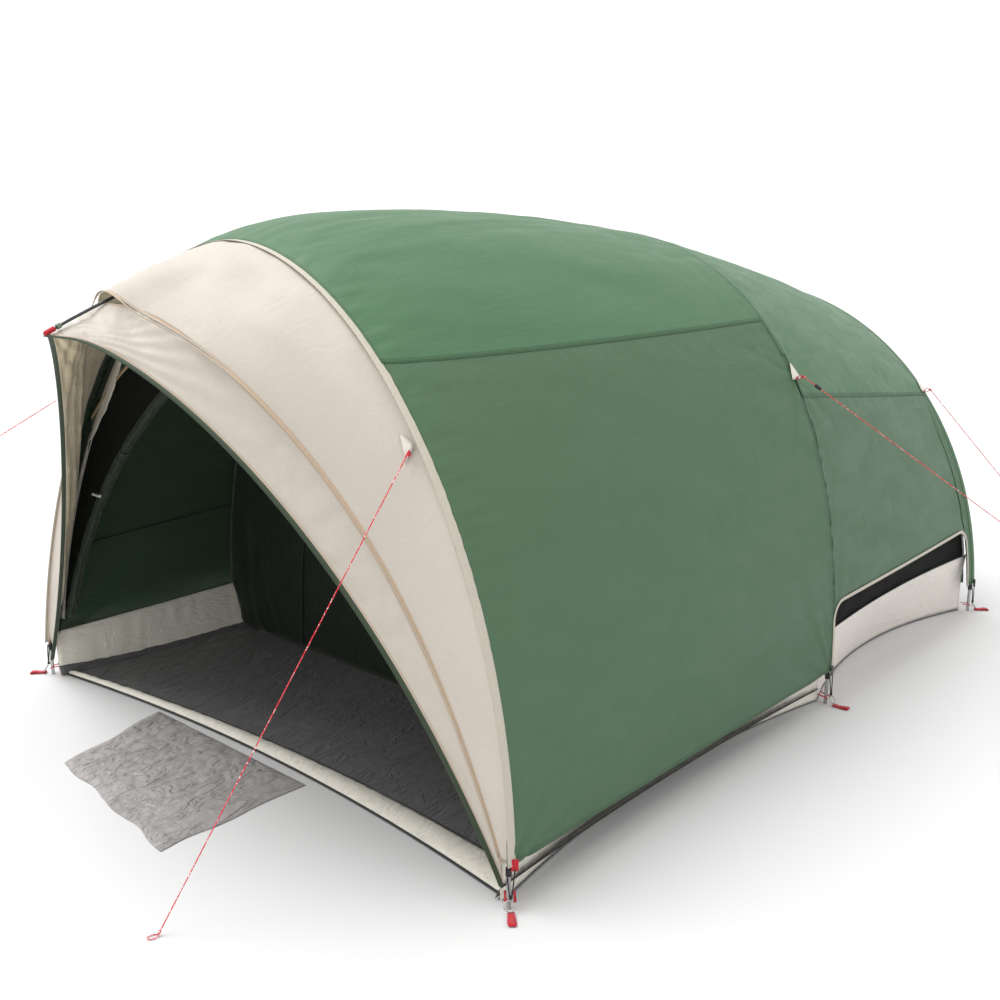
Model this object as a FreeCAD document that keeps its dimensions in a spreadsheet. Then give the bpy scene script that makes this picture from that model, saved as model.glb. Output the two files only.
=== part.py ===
import FreeCAD, Part
import Sketcher
import math
import os

# A pole tent: three hoop poles stand across it and a ridge pole runs lengthwise on its centre plane.
# Frame: +Z up, -Y towards the visor, +X to the right of someone who looks in through the doorway.
# While it is built, y = 0 is the line through the two front feet. Everything moves along Y at the end,
# so that the origin is on the ground under the middle of the tent.

Vec = FreeCAD.Vector
X_AXIS, Y_AXIS, Z_AXIS = Vec(1, 0, 0), Vec(0, 1, 0), Vec(0, 0, 1)

document = FreeCAD.newDocument("pole_tent")
sheet = document.addObject("Spreadsheet::Sheet", "sizes")
nodes = []

SIZES = {
    "half_width": 1100,          # centre plane to a foot
    "front_height": 1560,        # crown of the front hoop
    "mid_height": 1540,
    "rear_height": 1260,
    "front_lean": 0.065,         # the front hoop leans back by this much per unit of height
    "front_to_mid": 1632,        # along the ground, foot to foot
    "mid_to_rear": 1225,
    "visor_reach": 480,          # visor tip in front of the front feet
    "visor_height": 1371,
    "band_reach": 307,           # crown of the seam band in front of the front feet
    "band_height": 1450,
    "hood_reach": 150,           # rear hood tip behind the rear feet
    "hood_height": 1190,
    "roof_swell": 78,            # the ridge stands this far over the straight line between hoops
    "tail_swell": 12,
    "pole_dia": 8.5,
    "pole_bore": 5.0,
    "ferrule_dia": 12.5,
    "ferrule_length": 70,
    "shock_cord_dia": 3.0,
    "foot_dia": 12.0,
    "foot_length": 92,
    "collar_dia": 16.0,
    "collar_length": 20,
    "collar_bore": 13.0,
    "cloth": 2.0,                # thickness of every cloth panel
    "skin_gap": 9.0,             # pole centre line to the inside of the skin
    "hem_height": 120,
    "side_bow": 85,              # the floor's edges curve in between the feet
    "vent_bow": 115,
    "tub_height": 165,
    "cabin_tub_height": 270,
    "cabin_start": 757,          # front feet to the cabin's front wall
    "liner_gap": 40,             # skin to the cabin's liner
    "floor_inset": 30,
    "threshold_width": 90,
    "mat_right_length": 430,     # in front of the feet, along its right-hand edge
    "mat_left_length": 340,
    "mat_left": 544,
    "mat_right": 240,
    "mat_slant": 113,            # its left-hand edge runs inwards by this much
    "roll_dia": 30,
    "zip_width": 12,
    "webbing": 20,               # width of the straps and loops
    "webbing_thick": 2.0,
    "ring_dia": 26,
    "ring_wire": 3.5,
    "guy_dia": 3.0,
    "elastic_dia": 4.0,
    "runner_length": 24,
    "runner_dia": 11,
    "toggle_dia": 9,
    "toggle_length": 44,
    "slider_depth": 4.0,
    "floor_thick": 3.0,
}
for row, (alias, value) in enumerate(SIZES.items(), start=1):
    sheet.set("A%d" % row, alias)
    sheet.set("B%d" % row, str(value))
    sheet.setAlias("B%d" % row, alias)
document.recompute()


def size(alias):
    """A driving dimension, read from the sheet."""
    return float(sheet.get(alias))


HALF = size("half_width")
CLOTH = size("cloth")
INNER = size("skin_gap")
OUTER = INNER + CLOTH
MID_Y = size("front_to_mid")
REAR_Y = MID_Y + size("mid_to_rear")
HEM = size("hem_height")
SEAM_GAP = 0.001                 # radians of an arch left open between two neighbouring panels


# ---------------------------------------------------------------- curves

def mix(low, high, share):
    return low + (high - low) * share


def swelling(share, skew):
    """A hump from 0 to 1 and back; a skew under 1 moves its top towards the start."""
    place = share ** skew
    return 4 * place * (1 - place)


DIP_HALF = 65.0                  # half the width of the sag in a crown


class Arch:
    """A rounded arch from foot to foot. A turn of 0 is the right foot and pi is the left foot."""

    def __init__(self, height, fullness, depth, rise=0.0, dip=0.0):
        self.height = height
        self.fullness = fullness
        self.depth = depth       # gives y from x and z
        self.rise = rise or 1.0 / fullness     # left out, the arch is a plain superellipse
        self.dip = dip           # how far the crown sags, under the ridge pole

    def point(self, turn, lift=0.0):
        across = abs(math.cos(turn)) ** (2.0 / self.fullness)
        x = (HALF + lift) * math.copysign(across, math.cos(turn))
        z = (self.height + lift) * abs(math.sin(turn)) ** (2.0 * self.rise)
        sag = self.dip * math.exp(-(x / DIP_HALF) ** 2)
        return Vec(x, self.depth(x, z), z - sag)

    def turn_at(self, z):
        return math.asin((z / self.height) ** (0.5 / self.rise))


def visor_depth(x, z):
    return -size("visor_reach") * max(0.0, 1 - abs(x) / HALF) ** 1.5


def band_depth(x, z):
    return -size("band_reach") * (z / size("band_height")) ** 3.4


def front_depth(x, z):
    return size("front_lean") * z


def mid_depth(x, z):
    return MID_Y


def rear_depth(x, z):
    return REAR_Y


def hood_depth(x, z):
    return REAR_Y + size("hood_reach") * (z / size("hood_height")) ** 3.4


VISOR = Arch(size("visor_height"), 1.53, visor_depth, 0.98)
BAND = Arch(size("band_height"), 1.7, band_depth, 0.9)
FRONT = Arch(size("front_height"), 1.88, front_depth)
MID = Arch(size("mid_height"), 2.6, mid_depth)
REAR = Arch(size("rear_height"), 2.1, rear_depth)
HOOD = Arch(size("hood_height"), 2.0, hood_depth)


def arch_between(start, end, share, swell=0.0, skew=1.0):
    """The skin's own arch part of the way from one hoop to the next."""
    height = mix(start.height, end.height, share) + swell * swelling(share, skew)

    def depth(x, z):
        return mix(start.depth(x, z), end.depth(x, z), share)

    fullness = mix(start.fullness, end.fullness, share)
    rise = mix(start.rise, end.rise, share)
    return Arch(height, fullness, depth, rise, mix(start.dip, end.dip, share))


def shifted(arch, forward):
    """The same arch, moved along Y."""

    def depth(x, z):
        return arch.depth(x, z) + forward

    return Arch(arch.height, arch.fullness, depth, arch.rise, arch.dip)


def curve(points):
    spline = Part.BSplineCurve()
    spline.interpolate(points)
    return spline.toShape()


def line(start, end):
    return Part.LineSegment(start, end).toShape()


def arc(points):
    return Part.Arc(*points).toShape()


# ---------------------------------------------------------------- solids

def skin(stations, inner=INNER, outer=OUTER, points=9):
    """Cloth stretched over stations, each an arch with the first and last turn of the panel."""
    sections = []
    ends = []
    for arch, first, last in stations:
        turns = [mix(first, last, step / (points - 1.0)) for step in range(points)]
        top = [arch.point(turn, outer) for turn in turns]
        under = [arch.point(turn, inner) for turn in turns]
        back = curve(list(reversed(under)))
        sections.append(Part.Wire([curve(top), line(top[-1], under[-1]), back, line(under[0], top[0])]))
        ends.append(Part.makeRuledSurface(curve(top), curve(under)))
    tube = Part.makeLoft(sections, False, len(sections) == 2)
    shell = Part.makeShell(tube.Faces + [ends[0], ends[-1]])
    shell.sewShape()
    cloth = Part.makeSolid(Part.Shell(shell.Faces))
    if cloth.Volume < 0:
        cloth.reverse()
    return cloth


def pipe(spine, radius, bore=0.0):
    """A round rod or tube along one edge."""
    start = spine.valueAt(spine.FirstParameter)
    heading = spine.tangentAt(spine.FirstParameter)
    face = Part.Face(Part.Wire(Part.Circle(start, heading, radius).toShape()))
    rod = Part.Wire([spine]).makePipe(face)
    if bore:
        hole = Part.Face(Part.Wire(Part.Circle(start, heading, bore).toShape()))
        rod = rod.cut(Part.Wire([spine]).makePipe(hole))
    return rod


def rod_along(point_at, first, last, radius, bore=0.0):
    """A rod on the arc through three points of a curve, from one of its parameters to another."""
    spine = arc([point_at(first), point_at(mix(first, last, 0.5)), point_at(last)])
    return pipe(spine, radius, bore)


def even_stops(point_at, first, last, count, samples=400):
    """Parameters that cut a curve into lengths that are all the same."""
    steps = [mix(first, last, step / float(samples)) for step in range(samples + 1)]
    spots = [point_at(step) for step in steps]
    reached = [0.0]
    for before, after in zip(spots[:-1], spots[1:]):
        reached.append(reached[-1] + (after - before).Length)
    stops = []
    for part in range(count + 1):
        goal = reached[-1] * part / count
        nearest = min(range(samples + 1), key=lambda spot: abs(reached[spot] - goal))
        stops.append(steps[nearest])
    return stops


def leant(shape, back):
    """A panel of the front wall: moved back by this much, then leant back like the front hoop."""
    shape = shape.copy()
    shape.translate(Vec(0, back, 0))
    shape.rotate(Vec(0, 0, 0), X_AXIS, -math.degrees(math.atan(size("front_lean"))))
    return shape


def mirrored(shape):
    return shape.mirror(Vec(0, 0, 0), X_AXIS)


def both_sides(shape):
    return Part.makeCompound([shape, mirrored(shape)])


# ---------------------------------------------------------------- document objects

def keep(label, shape):
    """A node whose shape is made by code."""
    feature = document.addObject("Part::Feature", label)
    feature.Label = label
    feature.Shape = shape
    nodes.append(feature)
    return feature


def new_body(label):
    body = document.addObject("PartDesign::Body", label)
    body.Label = label
    return body


def origin_plane(body, role):
    return [item for item in body.Origin.OriginFeatures if item.Role == role][0]


def new_sketch(body, name, role, height=0.0):
    sketch = body.newObject("Sketcher::SketchObject", name)
    sketch.AttachmentSupport = (origin_plane(body, role), [""])
    sketch.MapMode = "FlatFace"
    sketch.AttachmentOffset = FreeCAD.Placement(Vec(0, 0, height), FreeCAD.Rotation())
    return sketch


def close_outline(sketch, geometry):
    """Adds a closed outline and ties the end of each piece to the start of the next."""
    for piece in geometry:
        sketch.addGeometry(piece, False)
    count = len(geometry)
    for index in range(count):
        following = (index + 1) % count
        ends = {1: geometry[index].StartPoint, 2: geometry[index].EndPoint}
        starts = {1: geometry[following].StartPoint, 2: geometry[following].EndPoint}
        pairs = [(near, far) for near in ends for far in starts]
        near, far = min(pairs, key=lambda pair: (ends[pair[0]] - starts[pair[1]]).Length)
        sketch.addConstraint(Sketcher.Constraint("Coincident", index, near, following, far))


def pad(body, sketch, length_alias, reversed_way=False):
    feature = body.newObject("PartDesign::Pad", "Pad")
    feature.Profile = sketch
    feature.setExpression("Length", "sizes." + length_alias)
    feature.Reversed = reversed_way
    sketch.Visibility = False
    return feature


def round_sketch(body, name, role, alias, centre=Vec(0, 0, 0), height=0.0):
    """A circle whose diameter is bound to a cell of the sheet."""
    sketch = new_sketch(body, name, role, height)
    circle = sketch.addGeometry(Part.Circle(centre, Z_AXIS, size(alias) / 2), False)
    rule = sketch.addConstraint(Sketcher.Constraint("Diameter", circle, size(alias)))
    sketch.renameConstraint(rule, "across")
    sketch.setExpression("Constraints.across", "sizes." + alias)
    return sketch


def copies(label, shape, placements):
    """One node that holds the same piece in several places."""
    solids = []
    for placement in placements:
        solid = shape.copy()
        solid.Placement = placement.multiply(solid.Placement)
        solids.append(solid)
    return keep(label, Part.makeCompound(solids))


def facing(spot, heading):
    """A placement that puts a piece's +Z along a heading."""
    return FreeCAD.Placement(spot, FreeCAD.Rotation(Z_AXIS, heading))


# ---------------------------------------------------------------- the skin between the hoops

def roof_arch(share):
    return arch_between(FRONT, MID, share, size("roof_swell"), 0.72)


def tail_arch(share):
    return arch_between(MID, REAR, share, size("tail_swell"))


FRONT_CROWN = size("front_lean") * size("front_height")


def ridge_height(y):
    """Height of the skin's centre line above the ground, from the visor tip to the hood tip."""
    if y < -size("band_reach"):
        share = (y + size("visor_reach")) / (size("visor_reach") - size("band_reach"))
        return mix(size("visor_height"), size("band_height"), share)
    if y < FRONT_CROWN:
        share = (y + size("band_reach")) / (FRONT_CROWN + size("band_reach"))
        return mix(size("band_height"), size("front_height"), share)
    if y < MID_Y:
        return roof_arch((y - FRONT_CROWN) / (MID_Y - FRONT_CROWN)).height
    if y < REAR_Y:
        return tail_arch((y - MID_Y) / (REAR_Y - MID_Y)).height
    return mix(REAR.height, HOOD.height, (y - REAR_Y) / size("hood_reach"))


# ---------------------------------------------------------------- poles

POLE = size("pole_dia") / 2
HOOP_SECTIONS = 9
FOOT_GAP = 3.0                   # pole end to the top of its steel foot
SIDES = (1, -1)
HOOPS = (("front", FRONT), ("mid", MID), ("rear", REAR))


def hoop_stops(arch):
    first = arch.turn_at(size("foot_length") + FOOT_GAP)
    return even_stops(arch.point, first, math.pi - first, HOOP_SECTIONS)


def pole_sections(point_at, stops, radius, bore=0.0):
    """Rods that meet end to end, each a little short of the next."""
    rods = []
    for first, last in zip(stops[:-1], stops[1:]):
        trim = (last - first) * 0.001
        rods.append(rod_along(point_at, first + trim, last - trim, radius, bore))
    return rods


def sleeves(point_at, stops):
    """A ferrule over each joint between two rods."""
    tubes = []
    for before, joint in zip(stops[:-2], stops[1:-1]):
        per_unit = (joint - before) / (point_at(joint) - point_at(before)).Length
        half = size("ferrule_length") / 2 * per_unit
        slack = 1.1
        tube = rod_along(point_at, joint - half, joint + half, size("ferrule_dia") / 2, POLE + slack)
        tubes.append(tube)
    return tubes


RIDGE_DROP = 10.5                # ridge pole centre line below the hoops' centre lines
REAR_RIDGE_DROP = 14.0
RIDGE_SECTIONS = 7
RIDGE_START = -size("visor_reach")
STRAIGHT_END = -size("band_reach") + 15
RIDGE_END = REAR_Y + size("hood_reach")


def ridge_line():
    """One smooth curve from the visor tip to the hood tip, just under the crown of each hoop."""
    points = []
    for y in (RIDGE_START, STRAIGHT_END, FRONT_CROWN, 480, 1000, MID_Y, 2250, REAR_Y, RIDGE_END):
        away = min(1.0, (y - RIDGE_START) / (STRAIGHT_END - RIDGE_START))
        drop = RIDGE_DROP if y < REAR_Y else REAR_RIDGE_DROP
        points.append(Vec(0, y, ridge_height(y) - drop * away))
    spline = Part.BSplineCurve()
    spline.interpolate(points)
    return spline


RIDGE_LINE = ridge_line()


def ridge_point(share):
    """A point of the ridge pole's centre line; a share of 0 is the visor tip and 1 the hood tip."""
    return RIDGE_LINE.value(mix(RIDGE_LINE.FirstParameter, RIDGE_LINE.LastParameter, share))


def make_poles():
    ferrules = []
    cords = []
    routes = [(name + "_hoop_rods", arch.point, hoop_stops(arch)) for name, arch in HOOPS]
    ridge_stops = even_stops(ridge_point, 0.0, 1.0, RIDGE_SECTIONS)
    routes.append(("ridge_pole_rods", ridge_point, ridge_stops))
    for label, point_at, stops in routes:
        rods = pole_sections(point_at, stops, POLE, size("pole_bore") / 2)
        keep(label, Part.makeCompound(rods))
        ferrules += sleeves(point_at, stops)
        cords += pole_sections(point_at, stops, size("shock_cord_dia") / 2)
    keep("pole_ferrules", Part.makeCompound(ferrules))
    keep("shock_cords", Part.makeCompound(cords))


# ---------------------------------------------------------------- feet and their hardware

def foot_spots():
    """Where each pole stands, with the way its peg loop points."""
    spots = []
    for arch, outward in ((FRONT, -1), (MID, 0), (REAR, 1)):
        at_top = arch.point(arch.turn_at(size("foot_length")))
        for side in SIDES:
            heading = Vec(side, outward, 0)
            heading.normalize()
            spots.append((Vec(side * at_top.x, at_top.y, 0), heading))
    return spots


def turned(spot, heading):
    """A placement that turns a piece's +X to a heading on the ground."""
    return FreeCAD.Placement(spot, FreeCAD.Rotation(X_AXIS, heading))


def make_pole_feet():
    body = new_body("pole_foot_master")
    pad(body, round_sketch(body, "FootSketch", "XY_Plane", "foot_dia"), "foot_length")
    document.recompute()
    post = body.Tip
    low_edges = [
        "Edge%d" % (number + 1)
        for number, edge in enumerate(post.Shape.Edges)
        if abs(edge.BoundBox.ZMax) < 0.01
    ]
    rim = body.newObject("PartDesign::Fillet", "RoundedEnd")
    rim.Base = (post, low_edges)
    rim.Radius = 1.5
    document.recompute()
    copies("pole_feet", body.Shape, [turned(spot, heading) for spot, heading in foot_spots()])


def make_collars():
    body = new_body("collar_master")
    pad(body, round_sketch(body, "Rim", "XY_Plane", "collar_dia"), "collar_length")
    document.recompute()
    bore = body.newObject("PartDesign::Pocket", "Bore")
    bore.Profile = round_sketch(body, "BoreSketch", "XY_Plane", "collar_bore")
    bore.Type = "ThroughAll"
    bore.Reversed = True
    document.recompute()
    top = Vec(0, 0, size("foot_length") + 0.5)
    copies("pole_collars", body.Shape, [turned(spot + top, heading) for spot, heading in foot_spots()])


RING_OUT = 24.0                  # foot centre to ring centre
RING_LIFT = 22.0


def make_corner_rings():
    ring = document.addObject("Part::Torus", "ring_master")
    ring.setExpression("Radius1", "sizes.ring_dia / 2")
    ring.setExpression("Radius2", "sizes.ring_wire / 2")
    document.recompute()
    places = []
    for spot, heading in foot_spots():
        centre = spot + heading * RING_OUT + Vec(0, 0, RING_LIFT)
        places.append(facing(centre, heading + Vec(0, 0, 0.6)))
    copies("corner_rings", ring.Shape, places)


def band_between(start, end, width, thickness):
    """A flat strap from one point to another; its width lies level."""
    heading = end - start
    across = heading.cross(Z_AXIS)
    across.normalize()
    up = across.cross(heading)
    up.normalize()
    low = start - across * (width / 2)
    corners = [low, low + across * width]
    corners += [corners[1] + heading, corners[0] + heading]
    return Part.Face(Part.makePolygon(corners + corners[:1])).extrude(up * thickness)


def make_corner_straps():
    """Red webbing from the floor's corner to the ring, and the loop that a peg goes through."""
    straps = []
    loops = []
    elastics = []
    for spot, heading in foot_spots():
        side = heading.cross(Z_AXIS)
        for way in SIDES:
            inside = spot - heading * 26 + side * (way * 13) + Vec(0, 0, 30)
            near_ring = spot + heading * 6 + side * (way * 13) + Vec(0, 0, 22)
            straps.append(band_between(inside, near_ring, 7, size("webbing_thick")))
        loop = Part.makeBox(66, size("webbing"), 4, Vec(0, -size("webbing") / 2, 0.5))
        slot = Part.makeBox(40, size("webbing") - 8, 10, Vec(14, -size("webbing") / 2 + 4, -2))
        loop = loop.cut(slot)
        loop.Placement = turned(spot + heading * (RING_OUT + 4), heading)
        loops.append(loop)
        for way in SIDES:
            top = spot + heading * 12 + side * (way * 11) + Vec(0, 0, HEM - 4)
            low = spot + heading * (RING_OUT - 6) + side * (way * 4) + Vec(0, 0, RING_LIFT + 19)
            tie = Part.makeCylinder(size("elastic_dia") / 2, (low - top).Length, top, low - top)
            elastics.append(tie)
    keep("corner_straps", Part.makeCompound(straps))
    keep("peg_loops", Part.makeCompound(loops))
    keep("corner_elastics", Part.makeCompound(elastics))


def make_ridge_pockets():
    """Red sleeves that take the two ends of the ridge pole, and a stop ring in front."""
    pockets = []
    for end, inward in ((0.0, 0.01), (1.0, -0.01)):
        tip = ridge_point(end)
        heading = ridge_point(end + inward) - tip
        heading.normalize()
        start = tip - heading * 8
        cup = Part.makeCylinder(6.8, 34, start, heading)
        pockets.append(cup.cut(Part.makeCylinder(POLE + 0.5, 34, tip - heading * 2, heading)))
    keep("ridge_pockets", Part.makeCompound(pockets))
    tip = ridge_point(0.0)
    heading = ridge_point(0.016) - tip
    heading.normalize()
    outer = document.addObject("Part::Cylinder", "stop_outer")
    outer.Radius = 7.0
    outer.Height = 12
    inner = document.addObject("Part::Cylinder", "stop_inner")
    inner.setExpression("Radius", "sizes.pole_dia / 2 + 0.4")
    inner.Height = 12
    ring = document.addObject("Part::Cut", "ridge_stop")
    ring.Base = outer
    ring.Tool = inner
    ring.Placement = facing(tip + heading * 31, heading)
    nodes.append(ring)


# ---------------------------------------------------------------- canopy

ROOF_SEAM_FRONT = 1290
ROOF_SEAM_MID = 1275
TAIL_SEAM_MID = 1040
TAIL_SEAM_REAR = 870
VISOR_HEM = 60


def full_span(arch, low):
    turn = arch.turn_at(low)
    return (arch, turn, math.pi - turn)


def dipped(arch, dip):
    """The same arch with a sag in its crown, so that the ridge pole passes over it."""
    return Arch(arch.height, arch.fullness, arch.depth, arch.rise, dip)


VISOR_EDGE = dipped(VISOR, 22)
VISOR_BACK = shifted(dipped(BAND, 34), -1)


def make_visor():
    stations = []
    for share in (0.0, 0.5, 1.0):
        stations.append(full_span(arch_between(VISOR_EDGE, VISOR_BACK, share), VISOR_HEM + 40 * share))
    keep("visor", skin(stations, points=45))


def porch_arch(share):
    return arch_between(BAND, FRONT, share, 8)


def make_porch_panel():
    stations = [full_span(shifted(BAND, 1), HEM)]
    stations += [full_span(porch_arch(share), HEM) for share in (0.3, 0.6, 0.85)]
    stations.append(full_span(shifted(FRONT, -8), HEM))
    keep("porch_panel", skin(stations, INNER + 1, OUTER + 1, points=23))


def panel_run(make_arch, shares, low_at, high_at):
    stations = []
    for share in shares:
        arch = make_arch(share)
        stations.append((arch, arch.turn_at(low_at(share)), arch.turn_at(high_at(share)) - SEAM_GAP))
    return stations


def roof_run(make_arch, shares, low_at):
    stations = []
    for share in shares:
        arch = make_arch(share)
        turn = arch.turn_at(low_at(share))
        stations.append((arch, turn, math.pi - turn))
    return stations


ROOF_SHARES = (0.0, 0.18, 0.42, 0.7, 0.999)
TAIL_SHARES = (0.001, 0.33, 0.66, 1.0)


def roof_seam(share):
    return mix(ROOF_SEAM_FRONT, ROOF_SEAM_MID, share)


def tail_seam(share):
    return mix(TAIL_SEAM_MID, TAIL_SEAM_REAR, share)


def level_hem(share):
    return HEM


def side_node(label, shape):
    """The same side panel on the right and on the left."""
    keep(label + "_right", shape)
    keep(label + "_left", mirrored(shape))


def make_main_fly():
    keep("fly_roof", skin(roof_run(roof_arch, ROOF_SHARES, roof_seam), points=11))
    side_node("fly_side", skin(panel_run(roof_arch, ROOF_SHARES, level_hem, roof_seam), points=7))


VENT_START = MID_Y + 14
VENT_END = REAR_Y - 57
VENT_TOP = 350
VENT_CORNER = 60


def vent_outline(grow=0.0):
    """The cut-out's outline in the YZ plane: square below, rounded above."""
    low = HEM - 60
    left, right, top = VENT_START - grow, VENT_END + grow, VENT_TOP + grow
    bend = VENT_CORNER + grow
    slack = bend * (1 - math.sqrt(0.5))
    points = [Vec(0, left, low), Vec(0, left, top - bend), Vec(0, left + slack, top - slack)]
    points += [Vec(0, left + bend, top), Vec(0, right - bend, top)]
    points += [Vec(0, right - slack, top - slack), Vec(0, right, top - bend), Vec(0, right, low)]
    edges = [line(points[0], points[1]), arc(points[1:4]), line(points[3], points[4])]
    edges += [arc(points[4:7]), line(points[6], points[7]), line(points[7], points[0])]
    return Part.Face(Part.Wire(edges))


def vent_cutter(grow=0.0):
    start = vent_outline(grow)
    start.translate(Vec(HALF - 300, 0, 0))
    return start.extrude(Vec(600, 0, 0))


def tail_side_skin(inner=INNER, outer=OUTER):
    stations = panel_run(tail_arch, TAIL_SHARES, level_hem, tail_seam)
    return skin(stations, inner, outer, points=7)


def make_tail_fly():
    keep("tail_roof", skin(roof_run(tail_arch, TAIL_SHARES, tail_seam), points=11))
    side_node("tail_side", tail_side_skin().cut(vent_cutter()))


def make_vent_piping():
    """A proud cream edge round each vent."""
    proud = tail_side_skin(OUTER + 0.3, OUTER + 2.8)
    strip = proud.common(vent_cutter(12)).cut(vent_cutter())
    keep("vent_piping", both_sides(strip))


def make_rear_end():
    hood_low = TAIL_SEAM_REAR - 20
    stations = [full_span(shifted(REAR, 1), hood_low)]
    stations.append(full_span(arch_between(REAR, HOOD, 0.5, 10), hood_low))
    stations.append(full_span(HOOD, hood_low))
    keep("rear_hood", skin(stations, points=9))
    face = hoop_face(REAR, HEM, -24)
    wall = face.extrude(Vec(0, CLOTH, 0))
    wall.translate(Vec(0, REAR_Y - 12, 0))
    keep("rear_wall", wall)


def hoop_face(arch, low, lift=-8.0):
    """The flat area inside an arch, above a level, in the XZ plane."""
    first = arch.turn_at(low)
    turns = [mix(first, math.pi - first, step / 14.0) for step in range(15)]
    points = [arch.point(turn, lift) for turn in turns]
    points = [Vec(point.x, 0, point.z) for point in points]
    return Part.Face(Part.Wire([curve(points), line(points[-1], points[0])]))


def make_bindings():
    edge = [full_span(shifted(VISOR_EDGE, forward), VISOR_HEM) for forward in (-14, -1)]
    keep("visor_binding", skin(edge, INNER - 1, OUTER + 1, points=45))
    band = [full_span(shifted(BAND, forward), HEM + 10) for forward in (-4, 8)]
    keep("seam_band", skin(band, OUTER + 2, OUTER + 4, points=23))


# ---------------------------------------------------------------- front wall and doors

WALL_BACK = 14.0                 # the front wall stands this far behind the front hoop
WALL_LOW = 150
HEADER_LOW = 1240
ZIP_ARC = [Vec(600, 0, 1225), Vec(870, 0, 800), Vec(1040, 0, 220)]
ROLL_ARC = [Vec(200, 0, 1215), Vec(700, 0, 785), Vec(985, 0, 245)]


def arc_centre(points):
    return arc(points).Curve.Center


def offset_arc(points, grow):
    """The same three points, moved straight away from their arc's centre."""
    centre = arc_centre(points)
    moved = []
    for point in points:
        outward = point - centre
        outward.normalize()
        moved.append(point + outward * grow)
    return moved


def strip_between(near, far, thickness):
    """A flat strip of the front wall between two arcs."""
    outline = [arc(near), line(near[2], far[2]), arc(list(reversed(far))), line(far[0], near[0])]
    return Part.Face(Part.Wire(outline)).extrude(Vec(0, thickness, 0))


def make_front_frame():
    """Cloth inside the front hoop: two narrow strips and a header over the doorway."""
    frame = hoop_face(FRONT, WALL_LOW, -12).extrude(Vec(0, CLOTH, 0))
    gap = size("zip_width") / 2 + 1
    edge = offset_arc(ZIP_ARC, gap)
    low = Vec(edge[2].x + 8, 0, WALL_LOW - 60)
    outline = [Vec(-low.x, 0, low.z), low]
    opening = [line(Vec(-edge[0].x, 0, HEADER_LOW), Vec(edge[0].x, 0, HEADER_LOW))]
    opening += [line(Vec(edge[0].x, 0, HEADER_LOW), edge[0]), arc(edge), line(edge[2], low)]
    opening.append(line(low, outline[0]))
    left = [Vec(-point.x, 0, point.z) for point in reversed(edge)]
    opening += [line(outline[0], left[0]), arc(left), line(left[2], Vec(-edge[0].x, 0, HEADER_LOW))]
    cutter = Part.Face(Part.Wire(opening)).extrude(Vec(0, 40, 0))
    cutter.translate(Vec(0, -20, 0))
    keep("front_frame", leant(frame.cut(cutter), WALL_BACK))


def make_door():
    half = size("zip_width") / 2
    tape = strip_between(offset_arc(ZIP_ARC, -half), offset_arc(ZIP_ARC, half), CLOTH)
    keep("door_zips", leant(both_sides(tape), WALL_BACK))
    clear = size("roll_dia") / 2 + 5
    mesh = strip_between(offset_arc(ROLL_ARC, clear), offset_arc(ZIP_ARC, -half - 1), CLOTH)
    keep("door_mesh", leant(both_sides(mesh), WALL_BACK))
    roll = pipe(arc(ROLL_ARC), size("roll_dia") / 2)
    keep("door_rolls", leant(both_sides(roll), WALL_BACK + 1))


TIE_TURN = 0.58                  # place of the tie along the roll


def roll_frame():
    """Middle of the tie and the roll's heading there."""
    spine = arc(ROLL_ARC)
    spot = mix(spine.FirstParameter, spine.LastParameter, TIE_TURN)
    return spine.valueAt(spot), spine.tangentAt(spot)


def make_ties():
    middle, heading = roll_frame()
    radius = size("roll_dia") / 2
    tie = Part.makeCylinder(radius + 3.5, 10, middle - heading * 5, heading)
    tie = tie.cut(Part.makeCylinder(radius + 0.5, 20, middle - heading * 10, heading))
    keep("door_ties", leant(both_sides(tie), WALL_BACK + 1))
    body = new_body("toggle_master")
    bar = round_sketch(body, "BarSketch", "YZ_Plane", "toggle_dia", height=-size("toggle_length") / 2)
    pad(body, bar, "toggle_length")
    document.recompute()
    seat = middle + Vec(0, -(radius + 3.5 + size("toggle_dia") / 2 + 0.5), 0)
    for name, side in (("right", 1), ("left", -1)):
        toggle = body.Shape.copy()
        toggle.Placement = FreeCAD.Placement(Vec(side * seat.x, seat.y, seat.z), FreeCAD.Rotation())
        keep("door_toggle_" + name, leant(toggle, WALL_BACK + 1))


def make_sliders():
    """A zip slider with its pull tab, at the low end of each zip."""
    spine = arc(ZIP_ARC)
    seat = spine.valueAt(mix(spine.LastParameter, spine.FirstParameter, 0.03))
    body = new_body("slider_master")
    block = new_sketch(body, "Block", "XZ_Plane")
    half_w, half_l = 5.0, 7.0
    corners = [Vec(-half_w, -half_l, 0), Vec(half_w, -half_l, 0), Vec(half_w, half_l, 0), Vec(-half_w, half_l, 0)]
    outline = [Part.LineSegment(corners[i], corners[(i + 1) % 4]) for i in range(4)]
    close_outline(block, outline)
    pad(body, block, "slider_depth")
    document.recompute()
    tab = Part.makeBox(4, 1.6, 30, Vec(-2, -size("slider_depth") - 2.2, -32))
    hook = Part.makeBox(4, 2.4, 8, Vec(-2, -size("slider_depth") - 2.2, -6))
    slider = body.Shape.copy()
    if slider.BoundBox.YMax > 0.5:
        slider.translate(Vec(0, -size("slider_depth"), 0))
    slider = slider.fuse(hook).fuse(tab).removeSplitter()
    for name, side in (("right", 1), ("left", -1)):
        moved = slider.copy()
        moved.translate(Vec(side * seat.x, -0.4, seat.z))
        keep("zip_slider_" + name, leant(moved, WALL_BACK))


# ---------------------------------------------------------------- floor and walls

FLOOR_HALF = HALF - size("floor_inset")


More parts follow.
